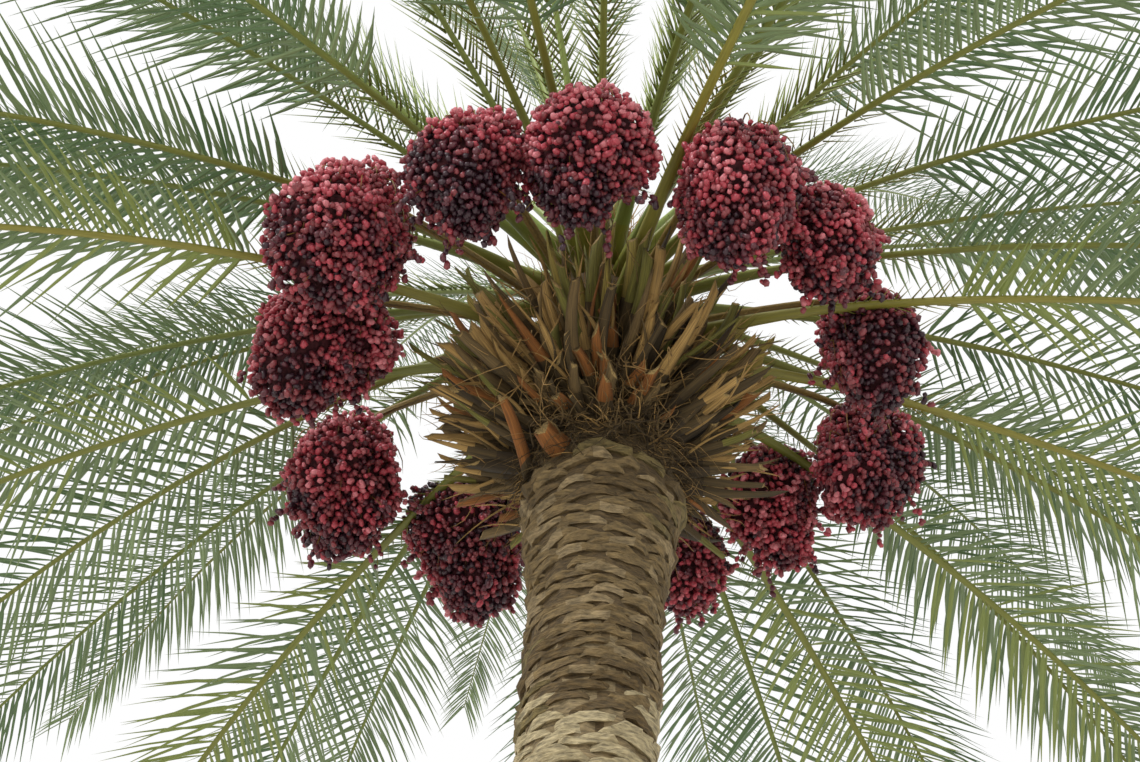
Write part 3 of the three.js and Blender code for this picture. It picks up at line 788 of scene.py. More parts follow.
def leaf_bases():
    """Where the cut leaf bases stand, the source's own and three finer ones between each: rows of points
    from foot to tip, azimuths, and numbers."""
    k = np.arange(STUB_COUNT * 4) / 4
    finer = np.arange(STUB_COUNT * 4) % 4 > 0
    age = np.clip(k / (STUB_COUNT - 1), 0, 1)
    azimuth = k * GOLDEN_ANGLE + np.where(finer, 18, 4) * wobble(k, 30)
    height = mix(STUB_LOWEST, STUB_HIGHEST, age)
    elevation = mix(*STUB_ELEVATIONS, age) + np.where(finer, 18, 5) * wobble(k, 31)
    bend = mix(*STUB_BENDS, age)
    length = mix(*STUB_LENGTHS, age) + 0.05 * wobble(k, 32)
    length = length * np.where(wobble(k, 33) > 0.5, 0.6, 1.0)
    length = length * np.where(finer, 0.92 + 0.15 * wobble(k, 27), 1)
    length = np.where(in_hollow(azimuth, height), 0.13 + 0.05 * wobble(k, 23), length)
    along = heading(azimuth, elevation - bend)
    outward = heading(azimuth + 14 * wobble(k, 24), elevation + bend)
    foot = round_trunk(azimuth, trunk_radius(height), height) - along * STUB_SINK
    # A leaf base that runs into a stalk is cut shorter, and one that still does is left out
    for _ in range(2):
        middle = foot + along * (STUB_SINK + length * 0.45)[:, None]
        tip = middle + outward * (length * 0.55)[:, None]
        points = bend_through(foot, middle * 2 - (foot + tip) / 2, tip, BLADE_RINGS)
        away = clear_of_stalks(points[:, 3:]).min(axis=1)
        length = np.where(away > STALK_CLEARANCE, length, length * 0.62)
    keep = away > STALK_LEAST_CLEARANCE
    return points[keep], azimuth[keep], k[keep]


# A leaf base's section: keeled below, with a trough above
BLADE_OUTLINE = np.array(
    [(1, 0.3), (0.55, 0.55), (0, 0.3), (-0.55, 0.55), (-1, 0.3), (-0.5, -0.45), (0, -1), (0.5, -0.45)]
)


class PALM_OT_leaf_bases(bpy.types.Operator):
    """Cut leaf bases: the rosette of dry keeled stubs, some cut across and some torn to a point"""

    bl_idname = "palm.leaf_bases"
    bl_label = "Grow cut leaf bases"

    def execute(self, context):
        sizes, colours = context.scene.palm_sizes, context.scene.palm_colours
        # Dry leaf bases, grooved along them: brown, straw, rot-dark, rust, olive, stained and pale olive;
        # rot-dark and stained also serve as painted shade at the feet and in the hollow
        tints = ((1, 1, 1), (2.6, 2.5, 2.25), (0.26, 0.25, 0.24), (1.75, 1.0, 0.55))
        tints += ((1.05, 1.5, 0.8), (0.5, 0.5, 0.47), (2.0, 2.4, 1.4))
        look = {"grain_mm": 12, "depth_mm": 4, "roughness": 0.82, "contrast": 0.5, "uv": True}
        dry = shades("Dry leaf base", colours.leaf_base, tints, stretch=(1.6, 0.08, 1), **look)
        # Cut faces: pale end grain with dark pores
        cut = grained("Cut end grain", colours.cut, 6, 2, 0.85, contrast=0.45)
        self.make_blades(sizes, [*dry, cut])
        return {"FINISHED"}

    def make_blades(self, sizes, materials):
        points, azimuth, k = leaf_bases()
        i = np.arange(len(k))
        hollow = in_hollow(azimuth, mix(STUB_LOWEST, STUB_HIGHEST, k / (STUB_COUNT - 1)))
        torn = wobble(k, 39) > 0.35
        wide = sizes.blade_width * (1 + 0.32 * wobble(k, 34) + 0.25 * (k % 1 == 0))
        thick = STUB_THICKNESS * (0.75 + 0.2 * wobble(k, 35))
        # The upper ones are still olive, and those in the hollow brown, rust or stained, the stain partly
        # painted shade
        colours = deal(wobble(k, 38), (0.26, 0.33, 0.09, 0.09, 0.1, 0.13))
        olive = np.where(wobble(k, 22) > 0.1, BASE_PALE_OLIVE, BASE_OLIVE)
        colours = np.where((k > 60) & (wobble(k, 21) > -0.3), olive, colours)
        colours = np.where(hollow, deal(wobble(k, 38), (0.45, 0, 0, 0.27, 0, 0.28)), colours)
        # Painted shade at each foot, darkest up to this ring and darker for two more: most on the low leaf
        # bases, less in the hollow and high up, least on the rest
        shaded_rings = np.where(hollow | (k > 62), 2, np.where(k < 30, 3, 1))
        soup = Soup()
        self.add_blades(soup, points, azimuth, i, wide, thick, torn, colours, shaded_rings)
        # Slivers: thin splinters and strips torn off the leaf bases
        some = (wobble(i, 20) > -0.1) & ~hollow
        i, points = i[some] + 1000, points[some]
        start = points[:, 3] + 0.03 * jitter(i, 120)
        way = unit(unit(points[:, 6] - points[:, 2]) + 0.5 * jitter(i, 123))
        end = start + way * (0.24 + 0.1 * wobble(i, 126))[:, None]
        points = bend_through(start, (start + end) / 2 + 0.04 * jitter(i, 127), end, BLADE_RINGS)
        wide, thick = 0.019 + 0.008 * wobble(i, 130), np.full(len(i), 0.009)
        torn, shaded_rings = np.full(len(i), True), np.full(len(i), -3)
        colours = deal(wobble(i, 131), (0.2, 0.66, 0, 0.02, 0.06, 0.06))
        self.add_blades(soup, points, azimuth[some], i, wide, thick, torn, colours, shaded_rings)
        # The last two leaves cut from the neck: a long rust-brown base and a short knob
        turn, end_turn = np.array([-160.0, -126.0]), np.array([-133.0, -125.0])
        start = round_trunk(turn, np.array([0.27, 0.24]), np.array([5.9, 5.9]))
        end = round_trunk(end_turn, np.array([0.48, 0.36]), np.array([6.04, 5.91]))
        middle = (start + end) / 2 - UP * np.array([0.0, 0.012])[:, None]
        points = bend_through(start, middle, end, BLADE_RINGS)
        wide, thick = np.array([0.083, 0.11]), np.array([0.05, 0.085])
        torn, shaded_rings = np.full(2, False), np.full(2, -1)
        colours = np.full(2, BASE_RUST)
        self.add_blades(soup, points, turn, np.array([2001, 2002]), wide, thick, torn, colours, shaded_rings)
        soup.make("cut_leaf_bases_dry", materials, "cut_leaf_base", ["cut_leaf_bases"])

    def add_blades(self, soup, points, azimuth, key, wide, thick, torn, colours, shaded_rings):
        """Keeled blades along rows of points, with painted shade at the foot: darkest up to one ring and
        darker for two more.
        """
        rings = points.shape[1]
        t = np.linspace(0, 1, rings)[None, :]
        torn = torn[:, None]
        ways = unit(np.gradient(points, axis=1))
        turn = np.repeat(azimuth[:, None], rings, axis=1)
        left, up = frames(ways, turn, 40 * wobble(key, 29)[:, None] * t)
        points = points + left * (0.05 * wobble(key, 28)[:, None] * t**2)[..., None]
        widths = wide[:, None] * np.where(torn, 1 - 0.86 * t**1.7, 1 - 0.38 * t**1.1)
        heights = thick[:, None] * np.where(torn, 1 - 0.8 * t, 1 - 0.5 * t)
        corners = sweep(points, left, up, widths, heights, BLADE_OUTLINE)
        sides = len(BLADE_OUTLINE)
        corner = (key * sides)[:, None] + np.arange(sides)
        groove = 1 + 0.18 * wobble(corner, 36)
        corners = points[:, :, None] + (corners - points[:, :, None]) * groove[:, None, :, None]
        # A cut end is flat and aslant, and a torn one is ragged
        slant = 1.1 * wobble(key, 37)[:, None] * BLADE_OUTLINE[:, 0] + 0.3 * BLADE_OUTLINE[:, 1]
        slant = np.where(torn, 0.9 * wobble(corner, 26), slant)
        reach = np.minimum(wide * 0.55, 0.04)[:, None, None]
        for ring, share in ((-1, 1.0), (-2, 0.5), (-3, 0.15)):
            corners[:, ring] += slant[:, :, None] * reach * ways[:, -1:, :] * share
        blade = tube(sides, rings)
        colours = np.repeat(colours[:, None], len(blade.faces), axis=1)
        furthest = np.array([blade.ring[list(face)].max() for face in blade.faces])[None, :]
        bleached = ((wobble(key, 25) > 0) & (shaded_rings != 2))[:, None] & (furthest >= 5)
        colours[bleached & (colours == BASE_BROWN)] = BASE_STRAW
        colours[(furthest <= shaded_rings[:, None] + 2) & (colours != BASE_ROTTED_AND_SHADED)] = BASE_STAINED_AND_SHADED
        colours[furthest <= shaded_rings[:, None]] = BASE_ROTTED_AND_SHADED
        colours[~torn & blade.on(rings=(rings - 1,))[None, :]] = BASE_CUT
        soup.add(blade, blade.pick(corners), colours, blade.pick(sweep_grains(points, sides, 0.15)))


class PALM_OT_fibre(bpy.types.Operator):
    """Fibre: the thatch round the neck, and the loose strands between and beyond the leaf bases"""

    bl_idname = "palm.fibre"
    bl_label = "Grow fibre"

    def execute(self, context):
        colours = context.scene.palm_colours
        # Palm fibre: matt brown threads, some bleached and some dark, partly rot and partly painted shade
        # where they lie deep
        tints = ((1, 1, 1), (2.6, 2.5, 2.3), (0.4, 0.4, 0.4))
        look = {"grain_mm": 4, "depth_mm": 1, "roughness": 0.9, "contrast": 0.3}
        threads = shades("Palm fibre", colours.fibre, tints, **look)
        self.make_threads(threads)
        return {"FINISHED"}

    def make_threads(self, materials):
        soup = Soup()
        # A mat that winds round the neck, its threads mostly dark as painted shade under the rosette
        k, azimuth, start = self.thread_starts(0, 1100, 5.85, 6.08, -0.005)
        way = heading(azimuth + 90 * np.sign(wobble(k, 52)), 40 * wobble(k, 53))
        way = unit(way + 0.6 * heading(azimuth, 10))
        self.add_threads(soup, start, way, (0.09, 0.05), 0.03, 0.0045, k, (0.35, 0.1, 0.55))
        # A tangle that fills the hollow in front, with long pale strands hanging in it
        k, azimuth, start = self.thread_starts(1500, 1850, 5.9, 6.24, 0.03, 0.04, front=46)
        way = unit(heading(azimuth, 10) + 1.2 * jitter(k, 56))
        self.add_threads(soup, start, way, (0.1, 0.05), 0.03, 0.0075, k, (0.62, 0.08, 0.3))
        k, azimuth, start = self.thread_starts(2000, 2050, 6.1, 6.5, 0.16, 0.08, front=42)
        way = unit(UP * -0.8 + heading(azimuth, 0) * 0.3 + 0.5 * jitter(k, 56))
        self.add_threads(soup, start, way, (0.26, 0.12), 0.0, 0.0062, k, (0.1, 0.9, 0))
        # Strands between the leaf bases
        k, azimuth, start = self.thread_starts(2100, 2580, 6.0, 6.7, 0.01)
        way = heading(azimuth + 25 * wobble(k, 52), mix(5, 45, (wobble(k, 53) + 1) / 2))
        self.add_threads(soup, start, way, (0.22, 0.12), 0.05, 0.0045, k, (0.3, 0.6, 0.1))
        # Fibre that wraps the heart, among the feet of the young fronds
        k, azimuth, start = self.thread_starts(5200, 5560, 6.75, TIP_HEIGHT - 0.03, -0.005)
        way = heading(azimuth + 40 * wobble(k, 52), mix(45, 88, (wobble(k, 53) + 1) / 2))
        self.add_threads(soup, start, way, (0.17, 0.08), 0.0, 0.0065, k, (0.35, 0.5, 0.15))
        # Threads off the leaf bases' tips
        points = leaf_bases()[0]
        k = np.arange(3000, 3000 + len(points))
        way = unit(points[:, -1] - points[:, -2])
        start = points[:, -1] - way * 0.05 + 0.008 * jitter(k, 90)
        way = unit(way + 0.35 * jitter(k, 93))
        self.add_threads(soup, start, way, (0.11, 0.05), 0.02, 0.004, k, (0.35, 0.55, 0.1))
        # Threads that hang under the rosette
        k = np.arange(5000, 5100)
        azimuth = k * GOLDEN_ANGLE
        start = round_trunk(azimuth, trunk_radius(6.0) + 0.02, 5.98 + 0.04 * wobble(k, 51))
        way = unit(heading(azimuth, -20) + 0.5 * jitter(k, 96))
        self.add_threads(soup, start, way, (0.13, 0.07), 0.09, 0.004, k, (0.4, 0.4, 0.2))
        soup.make("fibre_threads", materials, "cut_leaf_base")

    def thread_starts(self, first, last, lowest, highest, out, spread=0.0, front=None):
        """Numbers first to last with their azimuths, all round or only in front, and where they start."""
        k = np.arange(first, last)
        azimuth = -90 + front * wobble(k, 50) if front else k * GOLDEN_ANGLE + 20 * wobble(k, 50)
        height = mix(lowest, highest, (wobble(k, 51) + 1) / 2)
        reach = trunk_radius(height) + out + spread * wobble(k, 55)
        return k, azimuth, round_trunk(azimuth, reach, height)

    def add_threads(self, soup, start, way, length, droop, thick, key, weights):
        """Curling threads of a middle length and what it varies by, thinner towards their tips."""
        thread = tube(3, THREAD_RINGS, pointed=True)
        t = np.linspace(0, 1, THREAD_RINGS)[None, :, None]
        length = length[0] + length[1] * wobble(key, 54)
        curl = jitter(key, 100) * (length * 0.22)[:, None]
        points = start[:, None] + way[:, None] * length[:, None, None] * t
        points = points + curl[:, None] * np.sin(t * 3.4) - UP * droop * t**2
        add_round(soup, thread, points, thick * (1 - 0.8 * t[..., 0]), deal(wobble(key, 57), weights))


# A petiole's section: round below, nearly flat above, with a shallow trough
RIB_OUTLINE = np.array(
    [(1, 0.1), (0.72, 0.85), (0, 0.6), (-0.72, 0.85), (-1, 0.1), (-0.75, -0.65), (0, -1), (0.75, -0.65)]
)
# A leaflet's section: a thin blade folded upwards along its middle, at four places from foot to tip
LEAFLET_OUTLINE = np.array([(1.0, 1.0), (0.0, 0.3), (-1.0, 1.0), (0.0, 0.0)])
LEAFLET_SHARES = np.array([0.0, 0.14, 0.55, 1.0])
LEAFLET_WIDTHS = np.array([0.5, 1.0, 0.85, 0.0])
# How far the three ranks of leaflets stand above or below the frond's own rise
LEAFLET_RANKS = np.array([16, -34, -6])


def add_rib(soup, rib, frond, colour, foot_colour, slimness):
    petiole = np.linspace(-FROND_SINK, PETIOLE_LENGTH, 13)
    walked = np.concatenate([petiole, np.linspace(PETIOLE_LENGTH, frond["length"], 27)[1:]])
    point, _, left, up = at(rib, walked)
    width, thick = rib_size(walked, frond)
    slim = mix(1, slimness, smooth(walked, 0.1, 1.0))
    width, thick = (width * slim)[None], (thick * slim)[None]
    rings = sweep(point[None], left[None], up[None], width, thick, RIB_OUTLINE)
    shape = tube(len(RIB_OUTLINE), len(walked))
    colours = np.full((1, len(shape.faces)), colour)
    colours[0, shape.on(rings=(0, 1, 2))] = foot_colour
    grains = sweep_grains(point[None], len(RIB_OUTLINE), 0.1)
    soup.add(shape, shape.pick(rings), colours, shape.pick(grains))


def add_spines(soup, rib, frond, number, colour):
    """Stiff spines along both edges of the petiole, longer towards the leaflets and on young fronds."""
    spine = tube(3, 2, pointed=True)
    young = 1 - smooth(frond["size"], 0.65, 0.95)
    count = int(mix(15, 26, young))
    share = (np.arange(count) + 0.5) / count
    for side in (1, -1):
        key = number * 100 + np.arange(count) + (50 if side < 0 else 0)
        walked = mix(mix(0.5, 0.25, young) * PETIOLE_LENGTH, PETIOLE_LENGTH, share)
        walked = walked + 0.012 * wobble(key, 110)
        point, way, left, up = at(rib, walked)
        rise = (0.5 + 0.5 * wobble(key, 111))[:, None]
        run = unit(way * mix(1.1, 1.7, young) + left * side + up * rise)
        length = mix(0.035, mix(0.16, 0.42, young), share**1.1) * (1 + 0.25 * wobble(key, 112))
        edge = side * rib_size(walked, frond)[0] * 0.4
        root = point + left * edge[:, None]
        points = np.stack([root, root + run * length[:, None]], axis=1)
        width = np.array([mix(0.008, 0.015, young), 0.0])
        add_round(soup, spine, points, width, np.full(count, colour), flatness=0.5)


def add_leaflets(soup, leaflet, rib, frond, number, a_side, width, colours):
    """Leaflets in three ranks a side, folded along their middle, each shaded by its spray."""
    i = np.arange(a_side)
    for side in (1, -1):
        key = number * 1000 + i + (500 if side < 0 else 0)
        beyond = (i + 0.5 + 0.25 * wobble(key, 60)) / a_side
        walked = mix(PETIOLE_LENGTH, frond["length"], beyond)
        point, way, left, up = at(rib, walked)
        long = LEAFLET_LENGTH * (1 + frond["size"]) / 2 * mix(FIRST_LEAFLETS, 1, smooth(beyond, 0, 0.25))
        long = long * mix(1, LAST_LEAFLETS, smooth(beyond, 0.45, 1.1)) * (0.97 + 0.08 * wobble(key, 61))
        sweep_angle = np.radians(mix(SWEEP_AT_FOOT, SWEEP_AT_END, beyond) + 3 * wobble(key, 62))
        rank = LEAFLET_RANKS[i % 3]
        rise = np.radians(LEAFLET_RISE + rank * (1 - 0.4 * beyond) + 4 * wobble(key, 63))
        run = way * np.cos(sweep_angle)[:, None]
        run = run + left * (side * np.sin(sweep_angle) * np.cos(rise))[:, None]
        run = unit(run + up * (np.sin(sweep_angle) * np.sin(rise))[:, None])
        flat = unit(up - run * np.sum(up * run, axis=1)[:, None])
        twist = np.radians(22 * wobble(key, 64) + side * 10)[:, None]
        normal = unit(flat * np.cos(twist) + np.cross(flat, run) * np.sin(twist))
        across = unit(np.cross(normal, run))
        wide = width * (0.6 + 0.4 * frond["size"]) * (1 - 0.3 * beyond) * (1 + 0.12 * wobble(key, 65))
        droop = (0.06 + 0.05 * wobble(key, 66)) * long
        root = point + left * (side * rib_size(walked, frond)[0] * 0.25)[:, None]
        share = LEAFLET_SHARES[None, :, None]
        points = root[:, None] + run[:, None] * long[:, None, None] * share
        points = points + (way * 0.05 * long[:, None] - UP * droop[:, None])[:, None] * share**2
        widths = wide[:, None] * LEAFLET_WIDTHS * 0.82
        rings = sweep(
            points,
            np.repeat(across[:, None], 4, axis=1),
            np.repeat(normal[:, None], 4, axis=1),
            widths,
            widths * 0.62,
            LEAFLET_OUTLINE,
        )
        spray = np.floor(beyond * 9).astype(int) + number * 31 + (17 if side < 0 else 0)
        pick = (wobble(spray, 67) + 0.6 * wobble(key, 68)) / 1.6
        numbers = np.asarray(colours)[deal(pick, np.ones(len(colours)))]
        grains = np.empty((a_side, 4, 4, 2))
        grains[..., 0] = np.array([0, 0.5, 1, 0.5]) * 0.03 + (key % 97)[:, None, None] * 0.05
        grains[..., 1] = (long[:, None] * LEAFLET_SHARES)[..., None]
        soup.add(leaflet, leaflet.pick(rings), numbers, leaflet.pick(grains))


class PALM_OT_fronds(bpy.types.Operator):
    """Fronds: ribs with their broad spiny petioles, and finer leaflets that grow by the source's rule"""

    bl_idname = "palm.fronds"
    bl_label = "Grow fronds"

    def execute(self, context):
        sizes, colours = context.scene.palm_sizes, context.scene.palm_colours
        # Leaflets: leathery, faintly veined along their length, with a grey waxy bloom, in six tints
        tints = ((0.56, 0.7, 0.6), (0.78, 0.9, 0.88), (1, 1, 1), (1.25, 1.2, 1.25))
        tints += ((1.5, 1.3, 0.8), (1.65, 1.55, 1.7))
        look = {"grain_mm": 8, "depth_mm": 0.4, "roughness": 0.5, "contrast": 0.12, "uv": True}
        blades = shades("Leaflet", colours.leaflet, tints, stretch=(6, 0.3, 1), **look)
        # Ribs, smooth and waxy: golden on low fronds, green above, pale on young ones, duller at the foot
        tints = ((1.25, 1.3, 0.75), (0.88, 1.2, 0.85), (1.05, 1.5, 1.15))
        tints += ((0.95, 1.1, 0.55), (0.95, 1.15, 0.7))
        look = {"grain_mm": 12, "depth_mm": 0.6, "roughness": 0.45, "contrast": 0.16, "uv": True}
        ribs = shades("Frond rib", colours.rib, tints, stretch=(2, 0.1, 1), **look)
        low = [(k, low_frond(k)) for k in range(len(LOW_FRONDS))]
        upper = [(100 + k, upper_frond(k)) for k in range(OUTER_COUNT + YOUNG_COUNT)]
        low_nodes = [f"frond_low_{k + 1}" for k in range(len(low))]
        outer_nodes = [f"frond_outer_{k + 1:02d}" for k in range(OUTER_COUNT)]
        young, young_node = upper[OUTER_COUNT:], ["young_fronds"]
        some, others = upper[:OUTER_SPLIT], upper[OUTER_SPLIT:OUTER_COUNT]
        some_nodes, other_nodes = outer_nodes[:OUTER_SPLIT], outer_nodes[OUTER_SPLIT:]
        # Name, fronds, nodes, slot, shade of rib, tints of leaflets, slimness of ribs, breadth of leaflets
        groups = (
            ("low_fronds", low, low_nodes, "low_leaf", RIB_GOLDEN, (2, 3, 4, 4), 0.74, 1.3),
            ("outer_fronds_a", some, some_nodes, "leaf", RIB_GREEN, (0, 1, 2, 3, 5), 0.68, 1.14),
            ("outer_fronds_b", others, other_nodes, "leaf", RIB_GREEN, (1, 2, 2, 3, 5), 0.68, 1.14),
            ("young_fronds_grown", young, young_node, "young_leaf", RIB_PALE, (1, 2, 3, 3), 0.75, 1.05),
        )
        leaflet = tube(len(LEAFLET_OUTLINE), len(LEAFLET_SHARES), pointed=True)
        for name, fronds, nodes, slot, rib_shade, tints, slimness, breadth in groups:
            foot_shade = RIB_PALE if rib_shade == RIB_PALE else RIB_FOOT
            rib_soup, leaf_soup = Soup(), Soup()
            for number, frond in fronds:
                rib = follow_rib(frond)
                dull = rib_shade != RIB_PALE and wobble(number, 69) > 0.1
                shade = RIB_DULL if dull else rib_shade
                add_rib(rib_soup, rib, frond, shade, foot_shade, slimness)
                add_spines(rib_soup, rib, frond, number, shade)
                a_side = int(sizes.leaflets * (1.15 - 0.15 * frond["size"]))
                width = sizes.leaflet_width * breadth
                add_leaflets(leaf_soup, leaflet, rib, frond, number, a_side, width, tints)
            leaf_soup.make(name + "_leaflets", blades, slot, nodes, shade_smooth=False)
            rib_soup.make(name + "_ribs", ribs, slot, nodes)
        return {"FINISHED"}


class PALM_OT_fruit(bpy.types.Operator):
    """Fruit: arching stalks, the strands that part from their ends, and the dates on them"""

    bl_idname = "palm.fruit"
    bl_label = "Grow fruit"

    def execute(self, context):
        sizes, colours = context.scene.palm_sizes, context.scene.palm_colours
        # Date skins, taut under a waxy bloom with little gloss: red, bright, dark and nearly black, dealt
        # partly by ripeness and partly as painted light and shade, and pinkish, a painted highlight
        tints = ((1, 1, 1), (1.75, 1.2, 1.4), (0.44, 0.5, 0.62), (0.16, 0.31, 0.42), (2.6, 4.1, 3.9))
        look = {"grain_mm": 7, "depth_mm": 0.6, "roughness": 0.36, "contrast": 0.25, "specular": 0.4}
        skins = shades("Date skin", colours.date, tints, coat=0.2, coat_roughness=0.2, **look)
        # Fruit stems: smooth and orange-brown, some olive, some dry
        tints = ((1, 1, 1), (0.75, 1.05, 0.8), (0.6, 0.45, 0.5))
        look = {"grain_mm": 10, "depth_mm": 0.5, "roughness": 0.5, "contrast": 0.2}
        stems = shades("Fruit stem", colours.strand, tints, **look)
        # The bunch's inside: dates so deep in shade that they show as dark lumps
        deep = tuple(share * part for share, part in zip((0.24, 0.36, 0.36), colours.date))
        inside = grained("Shaded dates", deep, 26, 9, 0.7, contrast=0.6, specular=0.1)
        self.make_stems(stems)
        self.make_cores(inside)
        self.make_dates(sizes, skins)
        return {"FINISHED"}

    def make_stems(self, materials):
        soup = Soup()
        stalk = tube(10, FRUIT_STALK_RINGS)
        strand = tube(4, STRAND_RINGS, pointed=True)
        tip = tube(3, STRAND_TIP_RINGS, pointed=True)
        for number, bunch in enumerate(BUNCHES):
            points = fruit_stalk(bunch, FRUIT_STALK_RINGS)[None]
            ways = unit(np.gradient(points, axis=1))
            left, up = frames(ways, np.full(points.shape[:2], float(bunch[0])))
            slim = np.linspace(1, FRUIT_STALK_END, FRUIT_STALK_RINGS)[None]
            wide, thick = FRUIT_STALK_WIDTH * slim, FRUIT_STALK_THICKNESS * slim
            rings = sweep(points, left, up, wide, thick, ring_outline(stalk.sides))
            soup.add(stalk, stalk.pick(rings), [1])
            # Strands part from the stalk's end, and run over the bunch's shoulder and down
            middle, half = bunch_size(bunch)
            i = np.arange(STRANDS_A_BUNCH)
            way = spiral_ways(i, mix(0.75, -0.98, (i + 0.5) / len(i)), 67 * number)
            top = np.broadcast_to(middle + np.array([0, 0, half[2] - 0.05]), way.shape)
            shoulder = way * half
            shoulder[:, 2] = half[2]
            points = bend_through(top, middle + shoulder, middle + way * half * 1.02, STRAND_RINGS)
            add_round(soup, strand, points, np.linspace(0.008, 0.0035, STRAND_RINGS), i % 2)
            root, run, _ = tufts(number, middle, half)
            points = bend_through(mix(middle, root, 0.6), root, root + run * 0.95, STRAND_TIP_RINGS)
            add_round(soup, tip, points, 0.004, np.arange(len(root)) % 2)
        soup.make("fruit_stems", materials, "fruit", BUNCH_NODES)

    def make_cores(self, material):
        soup = Soup()
        mesh = bmesh.new()
        bmesh.ops.create_icosphere(mesh, subdivisions=3, radius=1)
        ball = Shape(mesh)
        for number, bunch in enumerate(BUNCHES):
            middle, half = bunch_size(bunch)
            places = ball.corners * half
            swell = 0.83 + 0.05 * lumps(places, number, 0.05) + 0.16 * lumps(places, number + 50, 0.15)
            soup.add(ball, (middle + places * swell[:, None])[None], [0])
        soup.make("fruit_cores", [material], "fruit", BUNCH_NODES)

    def make_dates(self, sizes, materials):
        date = ovoid(5, 2)
        parts = [Soup() for _ in range(3)]
        for number, bunch in enumerate(BUNCHES):
            part = parts[number % 3]
            middle, half = bunch_size(bunch)
            full = int(4 * math.pi * half[0] * half[2] / sizes.date_spacing**2)
            # An outer layer, and a deeper one with fewer dates that shows between them
            for deep, count, depth in ((False, full, 0.98), (True, int(full * INNER_SHARE), 0.9)):
                i = np.arange(count)
                key = number * 5000 + 2500 * deep + i
                way = spiral_ways(i, 1 - 2 * (i + 0.5) / count, 31 * number)
                way = unit(way + 0.06 * jitter(key, 80))
                cluster = lumps(way * half, number, 0.05)
                swell = depth + 0.06 * wobble(key, 84) + 0.09 * cluster
                swell = swell + 0.18 * lumps(way * half, number + 50, 0.15)
                shoulder = 1 + BUNCH_SHOULDER * way[:, 2:3] * np.array([1, 1, 0])
                places = way * half * shoulder * swell[:, None]
                places[:, 2] -= np.clip(-way[:, 2], 0, 1) ** 2 * 0.035 * (wobble(key, 85) + 0.6)
                self.add_dates(part, date, sizes, middle, places, way, key, cluster, deep)
            self.add_tufts(part, date, sizes, middle, half, number)
        for number, part in enumerate(parts):
            part.make(f"dates_{number + 1}", materials, "fruit", BUNCH_NODES[number::3])

    def add_dates(self, soup, shape, sizes, middle, places, way, key, cluster, deep):
        """Dates that hang outwards and down at these places, with painted shade in the hollows between the
        clusters.
        """
        hang = unit(way * 0.7 + np.array([0, 0, -0.5]) + 0.95 * jitter(key, 70))
        side = unit(np.cross(hang, jitter(key, 74) + 0.01))
        size = (1 + 0.16 * wobble(key, 78))[:, None] / 2
        axes = [side * sizes.date_width * size, np.cross(hang, side) * sizes.date_width * size]
        axes = np.stack([*axes, hang * sizes.date_length * size], axis=1)
        corners = (middle + places)[:, None] + np.einsum("vc,ncd->nvd", shape.corners, axes)
        # Shades partly by chance and ripeness, partly painted light and shade: darker between the clusters
        # and deeper in, lighter on the sunny side
        pick = 0.5 * wobble(key, 79) + 0.35 * cluster + 0.36 * lumps(middle + places, 9, 0.2)
        # The bunches behind the trunk get the rosette's shade painted on: darker overall and on top,
        # lighter underneath
        behind = smooth(middle[1], 0.6, 0.85)
        pick = pick + 0.3 * mix(1, -1, behind) * way @ SUNNY_SIDE - 0.12 * behind - (0.3 if deep else 0)
        shade = np.digitize(pick, [-0.58, -0.2, 0.2, 0.6])
        colours = np.array([DATE_BLACK, DATE_DARK, DATE_RED, DATE_BRIGHT, DATE_PINK_HIGHLIGHT])[shade]
        soup.add(shape, corners, colours)

    def add_tufts(self, soup, shape, sizes, middle, half, number):
        """Strand ends that stick out of a bunch with a few dates each."""
        root, run, way = tufts(number, middle, half)
        tuft, step = np.divmod(np.arange(len(root) * DATES_A_TUFT), DATES_A_TUFT)
        key = number * 5000 + 4700 + np.arange(len(tuft))
        along = run[tuft] * (step / (DATES_A_TUFT - 1))[:, None]
        places = root[tuft] - middle + along + 0.012 * jitter(key, 87)
        cluster = wobble(tuft + number, 91) * 0.6
        self.add_dates(soup, shape, sizes, middle, places, way[tuft], key, cluster, False)


def tufts(number, middle, half):
    """Strands that stick out of a bunch: their roots, how far they run, and the ways out at their roots."""
    tuft = np.arange(TUFTS_A_BUNCH)
    way = spiral_ways(tuft, mix(0.4, -0.98, (tuft + 0.5) / len(tuft)), 77 * number)
    reach = 0.065 + 0.04 * wobble(tuft + 20 * number, 86)
    run = (way * 0.8 + np.array([0, 0, -0.8])) * reach[:, None]
    return middle + way * half * 0.98, run, way


def bunch_size(bunch):
    """A bunch's middle, and half its width, depth and height."""
    azimuth, reach, width, tallness = bunch
    return round_trunk(azimuth, reach, BUNCH_HEIGHT), np.array([width, width, width * tallness]) / 2


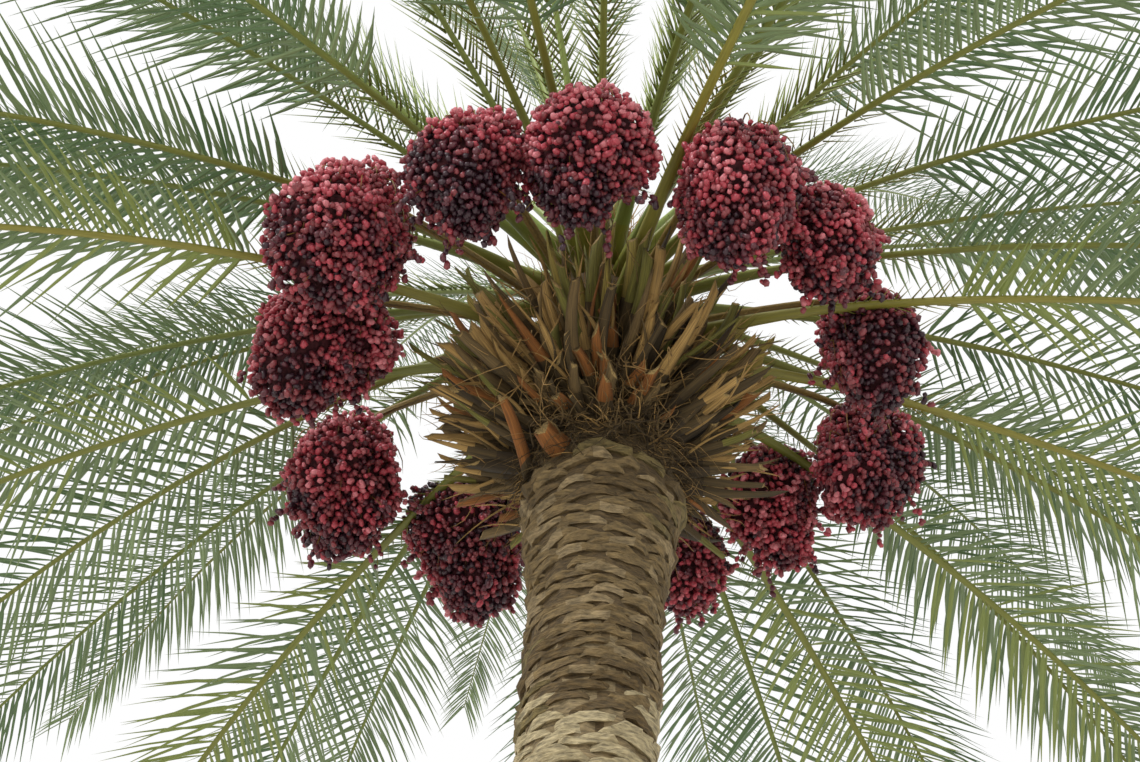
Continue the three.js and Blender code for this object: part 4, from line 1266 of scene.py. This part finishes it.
class PALM_OT_stage(bpy.types.Operator):
    """Stage: pale floor, white surroundings, soft lights and the camera under the crown"""

    bl_idname = "palm.stage"
    bl_label = "Set stage"

    def execute(self, context):
        scene = context.scene
        shape = bmesh.new()
        bmesh.ops.create_grid(shape, x_segments=4, y_segments=4, size=FLOOR_HALF_WIDTH)
        mesh = bpy.data.meshes.new("floor")
        shape.to_mesh(mesh)
        shape.free()
        floor = bpy.data.objects.new("floor", mesh)
        scene.collection.objects.link(floor)
        # Plaster: matt and even, with hardly any grain
        plaster = grained("Pale plaster floor", linear("c4c1b9"), 60, 0.5, 0.9, contrast=0.03)
        mesh.materials.append(plaster)
        world = bpy.data.worlds.new("White surroundings")
        world.use_nodes = True
        world.node_tree.nodes["Background"].inputs["Color"].default_value = (1, 1, 1, 1)
        world.node_tree.nodes["Background"].inputs["Strength"].default_value = 1.0
        scene.world = world
        scene.view_settings.view_transform = "Standard"
        for name, place, softness, strength in (
            ("key", (-0.6, -0.62, 0.62), 35, 3.2),
            ("fill", (0.7, -0.7, 0.15), 60, 0.7),
        ):
            data = bpy.data.lights.new(name, "SUN")
            data.energy = strength
            data.angle = math.radians(softness)
            light = bpy.data.objects.new(name, data)
            light.location = Vector(place) * LIGHT_DISTANCE
            light.rotation_euler = Vector(place).to_track_quat("Z", "Y").to_euler()
            scene.collection.objects.link(light)
        data = bpy.data.cameras.new("camera")
        data.sensor_width = SENSOR_MM
        data.lens = FOCAL_PIXELS / PHOTO_WIDTH_PIXELS * SENSOR_MM
        camera = bpy.data.objects.new("camera", data)
        camera.location = CAMERA_PLACE
        camera.rotation_euler = (math.radians(90 + CAMERA_CLIMB), 0, 0)
        scene.collection.objects.link(camera)
        scene.camera = camera
        return {"FINISHED"}


class PALM_PT_build(bpy.types.Panel):
    bl_label = "Date palm"
    bl_idname = "PALM_PT_build"
    bl_space_type = "VIEW_3D"
    bl_region_type = "UI"
    bl_category = "Palm"

    def draw(self, context):
        for operator in OPERATORS:
            self.layout.operator(operator.bl_idname)


OPERATORS = (
    PALM_OT_trunk,
    PALM_OT_leaf_bases,
    PALM_OT_fibre,
    PALM_OT_fronds,
    PALM_OT_fruit,
    PALM_OT_stage,
)
CLASSES = (PalmSizes, PalmColours, *OPERATORS, PALM_PT_build)


def register():
    for item in CLASSES:
        bpy.utils.register_class(item)
    bpy.types.Scene.palm_sizes = bpy.props.PointerProperty(type=PalmSizes)
    bpy.types.Scene.palm_colours = bpy.props.PointerProperty(type=PalmColours)


def unregister():
    del bpy.types.Scene.palm_colours
    del bpy.types.Scene.palm_sizes
    for item in reversed(CLASSES):
        bpy.utils.unregister_class(item)


def main():
    register()
    bpy.ops.palm.trunk()
    bpy.ops.palm.leaf_bases()
    bpy.ops.palm.fibre()
    bpy.ops.palm.fronds()
    bpy.ops.palm.fruit()
    bpy.ops.palm.stage()


if __name__ == "__main__":
    main()
